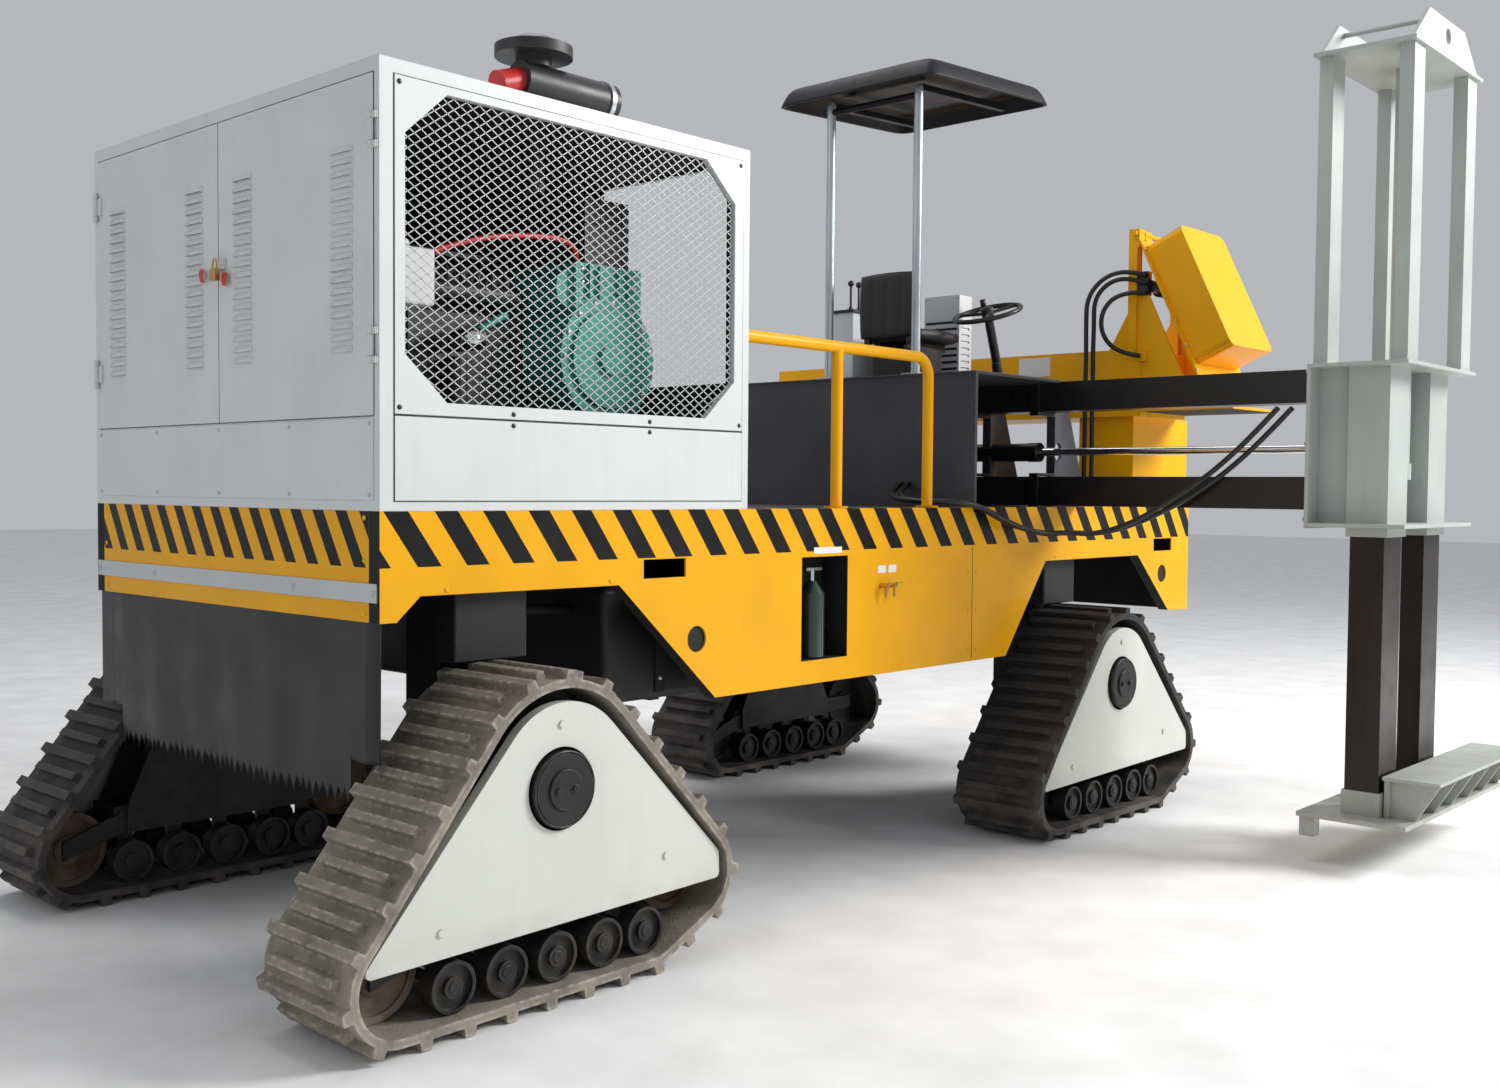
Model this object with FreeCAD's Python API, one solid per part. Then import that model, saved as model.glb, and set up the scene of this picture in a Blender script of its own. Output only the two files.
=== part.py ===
"""Self-propelled four-track work machine with an engine housing, an operator's platform
and a side-shifting mast.  Millimetres.  +X is forward, +Y is the machine's left, +Z is up.

The design coordinates have x = 0 at the chassis rear plane, y = 0 on the centreline and
z = 0 on the ground.  At the end everything moves so that the origin is the centre of the
machine's footprint, on the ground.
"""
import FreeCAD
import Part
import math
import os

V = FreeCAD.Vector

# ---- driving dimensions: chassis -------------------------------------------------------
CHASSIS_LENGTH = 6588
HALF_WIDTH = 1200
DECK_TOP = 1906
BAND_BOTTOM = 1690
FASCIA_PLATE = 10
FASCIA_FLANGE = 70
REAR_PANEL_BOTTOM = 1487
FRONT_PANEL_BOTTOM = 1180
SKIRT_BOTTOM = 770
SKIRT_CORNER_BOTTOM = 955
RAIL_Y = 560
RAIL_WIDTH = 140
RAIL_BOTTOM = 1560

# ---- driving dimensions: track units ---------------------------------------------------
HUB_X = {"rear": 578, "front": 4990}
HUB_Z = 840
TRACK_INNER = 1010
BELT_WIDTH = 570
BELT_THICKNESS = 35
LUG_HEIGHT = 35
LUG_PITCH = 92
SPROCKET_R = 388
IDLER_R = 178
ROLLER_R = 98
REAR_IDLER = (-730, 250)
FRONT_IDLER = (730, 370)
ROLLER_X = (-470, -225, 20, 265, 490)
ROLLER_Z = ROLLER_R + 2 + BELT_THICKNESS + LUG_HEIGHT
SPINDLE_R = 60
FIT = 0.05

# ---- driving dimensions: housing -------------------------------------------------------
HOUSING_LENGTH = 2010
HOUSING_TOP = 3580
HOUSING_WALL = 30
DOOR_BOTTOM = 2262
DOOR_TOP = 3522
DOOR_OUTER_Y = 1165
DOOR_SHEET = 4
LOUVRE_Y = (207, 953)
LOUVRE_WIDTH = 146
LOUVRE_COUNT = 18
LOUVRE_PITCH = 44
LOUVRE_FIRST_Z = 2510
WINDOW_X = (110, 1907)
WINDOW_Z = (2320, 3490)
WINDOW_CHAMFER = (190, 175)
FRONT_OPENING_Y = (-1080, 700)
FRONT_OPENING_Z = (2500, 3520)
INTAKE_X = 1085
INTAKE_Y = -750
CANISTER_Z = 3775
PUMP_X = 1480
PUMP_Z = 2590
PUMP_CASE_R = 285
PUMP_Y = (-810, -330)

# ---- driving dimensions: operator's platform -------------------------------------------
PLATFORM_X = (3910, 4830)
PLATFORM_TOP = 2674
BAY_INNER_Y = -540
CANOPY_X = (3780, 5093)
CANOPY_Y = (-957, 223)
CANOPY_UNDERSIDE = 4364
CANOPY_RISE = 3.2
POLE_X = 3975
POLE_Y = (-730, -70)
POLE_R = 27
SEAT_Y = -430
LEVER_Y = -65

# ---- driving dimensions: side shift and mast -------------------------------------------
BEAM_X = 4860
BEAM_SIZE = 180
BEAM_Z = (1912, 2495)
BEAM_INNER_Y = 250
FLANGE_Y = -2720
MAST_X = (4840, 5900)
MAST_OUTER_Y = -3230
SLEEVE_Z = (1820, 2700)
COLUMN_X = (4930, 5560)
COLUMN_LENGTH_X = 260
COLUMN_Y = (-3110, -2930)
COLUMN_TOP = 2690
SLEEVE_GAP = 4
SLEEVE_WALL = 14
POST_X = 160
POST_Y = 75
TOWER_TOP = 4360
LUG_TOP = 4560
LUG_BORE_R = 42
LIFT_X = 5375
LIFT_Y = -3020
LIFT_ROD_R = 30
LIFT_BARREL_R = 58
LIFT_PIN_R = 14
FOOT_PLATE_Z = (245, 270)
SHELF_TOP = 490
SHELF_Y = -3420
SHIFT_ROD_R = 24
SHIFT_Z = 2250
SHIFT_X = 5100

# Handrail beside the walkway
RAIL_POST_X = (2768, 3562)
RAIL_POST_Y = -1120
HANDRAIL_Z = 2730
HANDRAIL_R = 30

# Front group: the box on the cross beam, its pivot line (Y, Z) and its lean in degrees
HOOD_X = (5715, 6405)
HOOD_HINGE = (-1215, 3690)
HOOD_TILT = 25
CROSS_BEAM_LEFT = 1900
CROSS_BEAM_TOP = 2940

# Hoses: half the outside diameter, and the points that each one bends round
HOSE_R = 15
ARM_HOSE_NEAR = [(4832, -2640, 2468), (4826, -2540, 2360), (4824, -2390, 2215), (4815, -2215, 2070),
                 (4786, -2010, 1935), (4748, -1780, 1818), (4700, -1550, 1748), (4645, -1390, 1758),
                 (4500, -1300, 1750), (4320, -1240, 1785), (4100, -1236, 1842), (3900, -1232, 1920),
                 (3735, -1190, 1945), (3650, -1060, 1940), (3650, -900, 1950), (3757, -783, 1991),
                 (3903, -744, 2040)]
ARM_HOSE_FAR = [(4786, -2580, 2468), (4780, -2480, 2360), (4778, -2330, 2215), (4769, -2155, 2070),
                (4740, -1950, 1935), (4702, -1760, 1818), (4654, -1550, 1748), (4595, -1405, 1758),
                (4470, -1330, 1745), (4310, -1288, 1778), (4100, -1282, 1832), (3910, -1278, 1900),
                (3715, -1232, 1940), (3606, -1075, 1938), (3606, -885, 1950), (3728, -735, 1987),
                (3903, -693, 2040)]
HOOD_HOSE_INNER = [(5556, -1010, DECK_TOP), (5550, -1016, 2160), (5562, -1006, 2420),
                   (5552, -1014, 2680), (5560, -1006, 2900), (5554, -1014, 3085),
                   (5556, -1010, 3263), (5604, -1091, 3375), (5670, -1205, 3399),
                   (5721, -1293, 3358)]
HOOD_HOSE_OUTER = [(5533, -971, DECK_TOP), (5540, -964, 2150), (5528, -974, 2400),
                   (5538, -966, 2660), (5530, -974, 2890), (5536, -966, 3090), (5533, -971, 3279),
                   (5591, -1070, 3415), (5669, -1203, 3444), (5719, -1288, 3412)]
HOOD_HOSE_LOOP = [(5721, -1291, 3302), (5640, -1152, 3306), (5580, -1051, 3189),
                  (5581, -1053, 3024), (5640, -1152, 2907), (5708, -1268, 2890)]

parts = {}


# ---- small helpers ---------------------------------------------------------------------
def box(x0, x1, y0, y1, z0, z1):
    """A box between two opposite corners."""
    return Part.makeBox(x1 - x0, y1 - y0, z1 - z0, V(x0, y0, z0))


def rod(start, end, radius):
    """A cylinder from one point to another."""
    a = V(*start)
    d = V(*end) - a
    return Part.makeCylinder(radius, d.Length, a, d)


def tube_between(start, end, outer, inner):
    return rod(start, end, outer).cut(rod(start, end, inner))


def plate_xz(points, y0, y1):
    """A polygon drawn in X and Z, given thickness along Y."""
    wire = Part.makePolygon([V(x, y0, z) for x, z in points + points[:1]])
    return Part.Face(wire).extrude(V(0, y1 - y0, 0))


def plate_yz(points, x0, x1):
    """A polygon drawn in Y and Z, given thickness along X."""
    wire = Part.makePolygon([V(x0, y, z) for y, z in points + points[:1]])
    return Part.Face(wire).extrude(V(x1 - x0, 0, 0))


def mirrored(shape):
    """The same piece on the other side of the centreline."""
    return shape.mirror(V(0, 0, 0), V(0, 1, 0))


def joined(*shapes):
    return shapes[0].multiFuse(list(shapes[1:])).removeSplitter()


def group(*shapes):
    return Part.makeCompound(list(shapes))


def bent_path(points, radii=None):
    """Straight runs joined by tangent arcs, each as large as its two runs allow."""
    pts = [V(*p) for p in points]
    edges = []
    used = []
    cursor = pts[0]
    for i in range(1, len(pts) - 1):
        before = (pts[i] - pts[i - 1]).normalize()
        after = (pts[i + 1] - pts[i]).normalize()
        turn = before.getAngle(after)
        shorter = min((pts[i] - pts[i - 1]).Length, (pts[i + 1] - pts[i]).Length)
        cut = 0.45 * shorter
        if radii:
            cut = radii * math.tan(turn / 2)
        radius = cut / math.tan(turn / 2)
        used.append(round(radius))
        begin = pts[i] - before * cut
        finish = pts[i] + after * cut
        inward = (after - before).normalize()
        middle_gap = radius * (1 / math.cos(turn / 2) - 1)
        edges.append(Part.makeLine(cursor, begin))
        edges.append(Part.Arc(begin, pts[i] + inward * middle_gap, finish).toShape())
        cursor = finish
    edges.append(Part.makeLine(cursor, pts[-1]))
    return Part.Wire(edges), used


def swept_tube(points, radius, radii=None, name=None):
    """A round solid along a bent path; a hose prints its radii and volume ratio."""
    path, used = bent_path(points, radii)
    start = V(*points[0])
    direction = V(*points[1]) - start
    circle = Part.Wire(Part.makeCircle(radius, start, direction))
    shell = path.makePipeShell([circle], True, False)
    if name:
        ratio = shell.Volume / (math.pi * radius ** 2 * path.Length)
        print(name, "radii", used, "volume ratio", round(ratio, 4), "length", round(path.Length))
    return shell


# ---- chassis ---------------------------------------------------------------------------
def side_outline():
    """Outline of the side fascia in X and Z: arches over the tracks and a belly between."""
    return [(0, DECK_TOP), (0, REAR_PANEL_BOTTOM), (74, REAR_PANEL_BOTTOM), (180, 1582),
            (1197, 1580), (1800, 1033), (4257, 1033), (4690, 1578), (5855, 1580),
            (6300, 1190), (6588, FRONT_PANEL_BOTTOM), (CHASSIS_LENGTH, DECK_TOP)]


def make_fascia(with_niche):
    """One side fascia: a skin with a folded edge all round."""
    outline = side_outline()
    body = plate_xz(outline, -HALF_WIDTH, -HALF_WIDTH + FASCIA_FLANGE)
    face = Part.Face(Part.makePolygon([V(x, -HALF_WIDTH + FASCIA_PLATE, z)
                                       for x, z in outline + outline[:1]]))
    inside = face.makeOffset2D(-8).extrude(V(0, FASCIA_FLANGE, 0))
    body = body.cut(inside)
    through = FASCIA_FLANGE + 20
    near = -HALF_WIDTH - 10
    openings = [box(x, x + 260, near, near + 30, 1602, 1686) for x in (1342, 6075)]
    openings.append(rod((1676, near, 1314), (1676, near + through, 1314), 60))
    openings.append(rod((6200, near, 1446), (6200, near + through, 1446), 60))
    if with_niche:
        openings.append(box(2410, 2770, near, near + 30, 1150, 1665))
    body = body.cut(group(*openings))
    if with_niche:
        niche = box(2402, 2778, -HALF_WIDTH + FASCIA_PLATE, -1020, 1142, 1673)
        niche = niche.cut(box(2410, 2770, -HALF_WIDTH, -1026, 1150, 1665))
        body = joined(body, niche)
    return body


def make_chassis_frame():
    """Two long rails, cross members and a leg with a spindle for every track unit."""
    pieces = []
    for side in (-1, 1):
        centre = side * RAIL_Y
        pieces.append(box(40, CHASSIS_LENGTH - 40, centre - RAIL_WIDTH / 2, centre + RAIL_WIDTH / 2,
                          RAIL_BOTTOM, DECK_TOP - 12))
    for x in (60, 1500, 2400, 3300, 4200, 5700, 6380):
        pieces.append(box(x, x + 120, -1120, 1120, 1700, DECK_TOP - 12))
    for x in HUB_X.values():
        pieces.append(box(x - 200, x + 200, -980, 980, 1700, DECK_TOP - 12))
        for side in (-1, 1):
            low, high = sorted((side * 740, side * 975))
            pieces.append(box(x - 150, x + 150, low, high, HUB_Z - 140, 1760))
            pieces.append(rod((x, side * 970, HUB_Z), (x, side * 1385, HUB_Z), SPINDLE_R))
    return joined(*pieces)


def make_end_panels():
    rear = box(0, 10, -HALF_WIDTH + 70.5, HALF_WIDTH - 70.5, REAR_PANEL_BOTTOM, DECK_TOP)
    front = box(CHASSIS_LENGTH - 10, CHASSIS_LENGTH, -HALF_WIDTH + 70.5, HALF_WIDTH - 70.5,
                FRONT_PANEL_BOTTOM, DECK_TOP)
    return group(rear, front)


def make_skirt():
    """Rubber curtain below the rear panel, with a saw-tooth fringe and raised corners."""
    tooth = 50
    depth = 57
    corner = 985
    half = HALF_WIDTH - 12
    points = [(-half, REAR_PANEL_BOTTOM + 90), (-half, SKIRT_CORNER_BOTTOM)]
    points.append((-corner, SKIRT_CORNER_BOTTOM))
    count = round(2 * corner / tooth)
    step = 2 * corner / count
    for i in range(count):
        left = -corner + i * step
        points.append((left, SKIRT_BOTTOM + depth))
        points.append((left + step / 2, SKIRT_BOTTOM))
    points.append((corner, SKIRT_BOTTOM + depth))
    points.append((corner, SKIRT_CORNER_BOTTOM))
    points.append((half, SKIRT_CORNER_BOTTOM))
    points.append((half, REAR_PANEL_BOTTOM + 90))
    skirt = plate_yz(points, 11, 17)
    sides = group(box(0, 80, -1200, -1129, 1400, 1600), box(0, 80, 1129, 1200, 1400, 1600))
    return skirt.cut(sides)


def build_chassis():
    parts["chassis_frame"] = make_chassis_frame()
    parts["fascia_right"] = make_fascia(True)
    parts["fascia_left"] = mirrored(make_fascia(False))
    parts["end_panels"] = make_end_panels()
    parts["deck"] = box(10.5, CHASSIS_LENGTH - 10.5, -1129, 1129, DECK_TOP - 11, DECK_TOP - 1)
    parts["rear_skirt"] = make_skirt()


# ---- track units -----------------------------------------------------------------------
def tangent_hull(circles):
    """The belt line round a set of circles (x, z, r), given in turning order."""
    count = len(circles)
    touches = []
    for i in range(count):
        ax, az, ar = circles[i]
        bx, bz, br = circles[(i + 1) % count]
        dx, dz = bx - ax, bz - az
        dist = math.hypot(dx, dz)
        ux, uz = dx / dist, dz / dist
        along = (ar - br) / dist
        across = math.sqrt(1 - along ** 2)
        nx = ux * along + uz * across
        nz = uz * along - ux * across
        touches.append(((ax + nx * ar, az + nz * ar), (bx + nx * br, bz + nz * br), (nx, nz)))
    edges = []
    for i in range(count):
        start, end, normal = touches[i]
        edges.append(Part.makeLine(V(start[0], 0, start[1]), V(end[0], 0, end[1])))
        following = touches[(i + 1) % count]
        cx, cz, radius = circles[(i + 1) % count]
        mx, mz = normal[0] + following[2][0], normal[1] + following[2][1]
        size = math.hypot(mx, mz)
        middle = V(cx + mx / size * radius, 0, cz + mz / size * radius)
        edges.append(Part.Arc(V(end[0], 0, end[1]), middle,
                              V(following[0][0], 0, following[0][1])).toShape())
    return Part.Wire(edges)


def belt_circles(extra):
    """Wheels that carry the belt, in turning order, each larger by the given amount."""
    last_roller = (ROLLER_X[-1], ROLLER_Z, ROLLER_R + 2 + extra)
    return [(REAR_IDLER[0], REAR_IDLER[1], IDLER_R + 2 + extra), last_roller,
            (FRONT_IDLER[0], FRONT_IDLER[1], IDLER_R + 2 + extra), (0, HUB_Z, SPROCKET_R + 2 + extra)]


def make_belt():
    """Rubber belt: a closed band with long and short lugs by turns."""
    outer = tangent_hull(belt_circles(BELT_THICKNESS))
    inner = tangent_hull(belt_circles(0))
    band = Part.Face(outer).extrude(V(0, BELT_WIDTH, 0))
    band = band.cut(Part.Face(inner).extrude(V(0, BELT_WIDTH, 0)))
    count = int(outer.Length / LUG_PITCH / 2) * 2
    lugs = []
    for i in range(count):
        point, tangent = point_on(outer, i * outer.Length / count)
        angle = math.degrees(math.atan2(tangent.z, tangent.x))
        reach = (0, BELT_WIDTH) if i % 2 else (70, BELT_WIDTH - 70)
        wide = 22 if i % 2 else 17
        profile = [(-wide - 7, -8), (wide + 7, -8), (wide, LUG_HEIGHT - 0.3), (-wide, LUG_HEIGHT - 0.3)]
        lug = plate_xz(profile, reach[0], reach[1])
        lug.rotate(V(0, 0, 0), V(0, 1, 0), 180 - angle)
        lug.translate(V(point.x, 0, point.z))
        lugs.append(lug)
    return band.multiFuse(lugs), count


def point_on(wire, distance):
    """The point and the direction at a distance along a wire."""
    for edge in wire.OrderedEdges:
        if distance <= edge.Length:
            at = edge.getParameterByLength(distance)
            if edge.Orientation == "Reversed":
                at = edge.getParameterByLength(edge.Length - distance)
            direction = edge.tangentAt(at)
            if edge.Orientation == "Reversed":
                direction = direction * -1
            return edge.valueAt(at), direction
        distance -= edge.Length
    return wire.OrderedEdges[0].valueAt(0), V(1, 0, 0)


def make_sprocket():
    """Two toothed rims on a drum, with the round hub cap that shows outside."""
    drum = rod((0, 190, HUB_Z), (0, 385, HUB_Z), 190)
    rims = []
    teeth = 18
    for v in (195, 350):
        rim = rod((0, v, HUB_Z), (0, v + 30, HUB_Z), SPROCKET_R)
        notches = []
        for i in range(teeth):
            angle = 2 * math.pi * i / teeth
            x = math.cos(angle) * (SPROCKET_R + 12)
            z = math.sin(angle) * (SPROCKET_R + 12) + HUB_Z
            notches.append(rod((x, v - 5, z), (x, v + 35, z), 38))
        rims.append(rim.cut(group(*notches)))
    cap = rod((0, 380, HUB_Z), (0, 572, HUB_Z), 138)
    rim_ring = rod((0, 540, HUB_Z), (0, 566, HUB_Z), 150)
    boss = rod((0, 560, HUB_Z), (0, 582, HUB_Z), 78)
    plugs = [rod((x, 580, HUB_Z), (x, 592, HUB_Z), 14) for x in (-42, 42)]
    bore = rod((0, 150, HUB_Z), (0, 400, HUB_Z), SPINDLE_R + FIT)
    return joined(drum, cap, rim_ring, boss, *rims, *plugs).cut(bore)


def make_idler(centre):
    """Twin-rimmed idler wheel with dished sides and a bore for its axle."""
    x, z = centre
    core = rod((x, 180, z), (x, 390, z), 62)
    wheels = []
    for v in (185, 330):
        wheel = rod((x, v, z), (x, v + 55, z), IDLER_R)
        dish = tube_between((x, v - 1, z), (x, v + 15, z), IDLER_R - 28, 70)
        dish_out = tube_between((x, v + 40, z), (x, v + 56, z), IDLER_R - 28, 70)
        wheels.append(wheel.cut(dish).cut(dish_out))
    return joined(core, *wheels).cut(rod((x, 170, z), (x, 400, z), 28 + FIT))


def make_cover():
    """White outer guard: a plate with a rounded top, a folded edge and a hole for the hub."""
    top_r = 330
    circles = [(-846, 322, 24), (858, 352, 24), (850, 430, 30), (20, HUB_Z + 5, top_r)]
    wire = tangent_hull(circles)
    plate = Part.Face(wire).extrude(V(0, 8, 0))
    plate.translate(V(0, 540, 0))
    inner = tangent_hull([(x, z, r - 6) for x, z, r in circles])
    fold = Part.Face(wire).extrude(V(0, 40, 0)).cut(Part.Face(inner).extrude(V(0, 40, 0)))
    fold.translate(V(0, 501, 0))
    bolts = [rod((x, 547, z), (x, 556, z), 15) for x, z in ((0, 1090), (-560, 400), (560, 480))]
    guard = joined(plate, fold, *bolts)
    return guard.cut(rod((0, 500, HUB_Z), (0, 560, HUB_Z), 162))


def make_track_frame():
    """Beam, two side plates on the spindle, idler forks and the roller axles."""
    beam = box(-520, 520, 165, 405, 300, 425)
    plates = []
    inner = [(-210, 1010), (210, 1010), (470, 425), (470, 300), (-470, 300), (-470, 425)]
    near = plate_xz(inner, 130, 150)
    near = near.cut(rod((0, 120, HUB_Z), (0, 160, HUB_Z), SPINDLE_R + FIT))
    far = plate_xz(inner, 430, 450).cut(rod((0, 420, HUB_Z), (0, 460, HUB_Z), 158))
    tie = [box(-450, 450, 140, 440, 310, 415)]
    plates.extend([near, far])
    forks = []
    for (x, z), side in ((REAR_IDLER, -1), (FRONT_IDLER, 1)):
        for v in (150, 400):
            inward = side * 440
            outline = [(inward, 310), (x + side * 40, z - 45), (x + side * 40, z + 45), (inward, 415)]
            forks.append(plate_xz(outline, v, v + 20))
        forks.append(rod((x, 150, z), (x, 420, z), 28))
    axles = []
    for x in ROLLER_X:
        axles.append(rod((x, 62, ROLLER_Z), (x, 508, ROLLER_Z), 22))
        for v in (160, 390):
            axles.append(box(x - 35, x + 35, v, v + 20, ROLLER_Z - 30, 320))
    spacers = [rod((x, 445, z), (x, 540, z), 14) for x, z in ((-150, 960), (-400, 400), (400, 400))]
    frame = joined(beam, *plates, *tie, *forks, *axles, *spacers)
    return frame


def make_rollers():
    """Five twin rollers on their axles, each a separate wheel."""
    wheels = []
    for x in ROLLER_X:
        for v in (66, 420):
            wheel = rod((x, v, ROLLER_Z), (x, v + 84, ROLLER_Z), ROLLER_R)
            face = v - 1 if v < 200 else v + 64
            wheel = wheel.cut(tube_between((x, face, ROLLER_Z), (x, face + 21, ROLLER_Z),
                                           ROLLER_R - 14, 40))
            wheels.append(wheel.cut(rod((x, v - 5, ROLLER_Z), (x, v + 90, ROLLER_Z), 22 + FIT)))
    return wheels


def build_tracks():
    belt, count = make_belt()
    print("belt lugs", count)
    frame = group(make_track_frame(), make_cover(), *make_rollers())
    unit = {"belt": belt, "carrier": frame, "drive_sprocket": make_sprocket(),
            "rear_idler": make_idler(REAR_IDLER), "front_idler": make_idler(FRONT_IDLER)}
    for end, hub_x in HUB_X.items():
        for side in ("right", "left"):
            for kind, shape in unit.items():
                placed = shape.copy()
                placed.translate(V(hub_x, TRACK_INNER, 0))
                if side == "right":
                    placed = mirrored(placed)
                parts[f"{kind}_{end}_{side}"] = placed


# ---- engine housing --------------------------------------------------------------------
def window_outline(grow=0):
    x0, x1 = WINDOW_X[0] - grow, WINDOW_X[1] + grow
    z0, z1 = WINDOW_Z[0] - grow, WINDOW_Z[1] + grow
    cx, cz = WINDOW_CHAMFER
    return [(x0 + cx, z0), (x1 - cx, z0), (x1, z0 + cz), (x1, z1 - cz), (x1 - cx, z1),
            (x0 + cx, z1), (x0, z1 - cz), (x0, z0 + cz)]


def make_housing():
    """Walls and roof of the engine housing, open at the bottom, doors and windows."""
    shell = box(0, HOUSING_LENGTH, -HALF_WIDTH, HALF_WIDTH, DECK_TOP, HOUSING_TOP)
    wall = HOUSING_WALL
    shell = shell.cut(box(wall, HOUSING_LENGTH - wall, -HALF_WIDTH + wall, HALF_WIDTH - wall,
                          DECK_TOP - 1, HOUSING_TOP - wall))
    window = plate_xz(window_outline(), -HALF_WIDTH - 10, HALF_WIDTH + 10)
    doorway = box(-10, wall + 10, -DOOR_OUTER_Y + 25, DOOR_OUTER_Y - 25, DOOR_BOTTOM + 20, DOOR_TOP - 20)
    rebate = box(-10, 12, -DOOR_OUTER_Y - 3, DOOR_OUTER_Y + 3, DOOR_BOTTOM - 4, DOOR_TOP + 4)
    front = box(HOUSING_LENGTH - wall - 10, HOUSING_LENGTH + 10, FRONT_OPENING_Y[0], FRONT_OPENING_Y[1],
                FRONT_OPENING_Z[0], FRONT_OPENING_Z[1])
    stem_hole = rod((INTAKE_X, INTAKE_Y, HOUSING_TOP - 60), (INTAKE_X, INTAKE_Y, HOUSING_TOP + 10), 76)
    return shell.cut(group(window)).cut(doorway).cut(rebate).cut(front).cut(stem_hole)


def make_door():
    """Right-hand door: folded sheet with two columns of louvre slots and two hinge knuckles."""
    y_out, y_in = -DOOR_OUTER_Y, -2
    sheet = box(-2, 10, y_out, y_in, DOOR_BOTTOM, DOOR_TOP)
    sheet = sheet.cut(box(-2 + DOOR_SHEET, 12, y_out + 20, y_in - 20, DOOR_BOTTOM + 20, DOOR_TOP - 20))
    slots = []
    for centre in LOUVRE_Y:
        for i in range(LOUVRE_COUNT):
            z = LOUVRE_FIRST_Z + i * LOUVRE_PITCH
            slots.append(box(-5, 5, -centre - LOUVRE_WIDTH / 2, -centre + LOUVRE_WIDTH / 2, z, z + 14))
    sheet = sheet.cut(group(*slots))
    knuckles = []
    for z in (2480, 3270):
        knuckles.append(tube_between((-14, y_out, z), (-14, y_out, z + 80), 11, 6))
        knuckles.append(box(-9, -2, y_out + 4, y_out + 46, z, z + 80))
    return joined(sheet, *knuckles)


def make_hinge_pins():
    """Pins and wall leaves of the four door hinges, fixed to the housing."""
    pieces = []
    for z in (2480, 3270):
        pin = rod((-14, -DOOR_OUTER_Y, z - 24), (-14, -DOOR_OUTER_Y, z + 104), 6 - FIT)
        leaves = []
        for low in (z - 26, z + 81):
            leaves.append(rod((-14, -DOOR_OUTER_Y, low), (-14, -DOOR_OUTER_Y, low + 25), 11))
            leaves.append(box(-14, -5, -DOOR_OUTER_Y - 30, -DOOR_OUTER_Y, low, low + 25))
            leaves.append(box(-8, 0.5, -DOOR_OUTER_Y - 32, -DOOR_OUTER_Y - 8, low, low + 25))
        pieces.append(joined(pin, *leaves))
    return pieces


def build_housing():
    pins = make_hinge_pins()
    shell = joined(make_housing(), *pins, *[mirrored(p) for p in pins])
    parts["housing_shell"] = shell
    mesh = plate_xz(window_outline(-0.5), -HALF_WIDTH + 12, -HALF_WIDTH + 15)
    parts["mesh_guards"] = group(mesh, mirrored(mesh))
    door = make_door()
    latch = box(-16, -2, -70, -4, 2905, 2945)
    parts["door_right"] = joined(door, latch)
    parts["door_left"] = mirrored(door)


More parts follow.
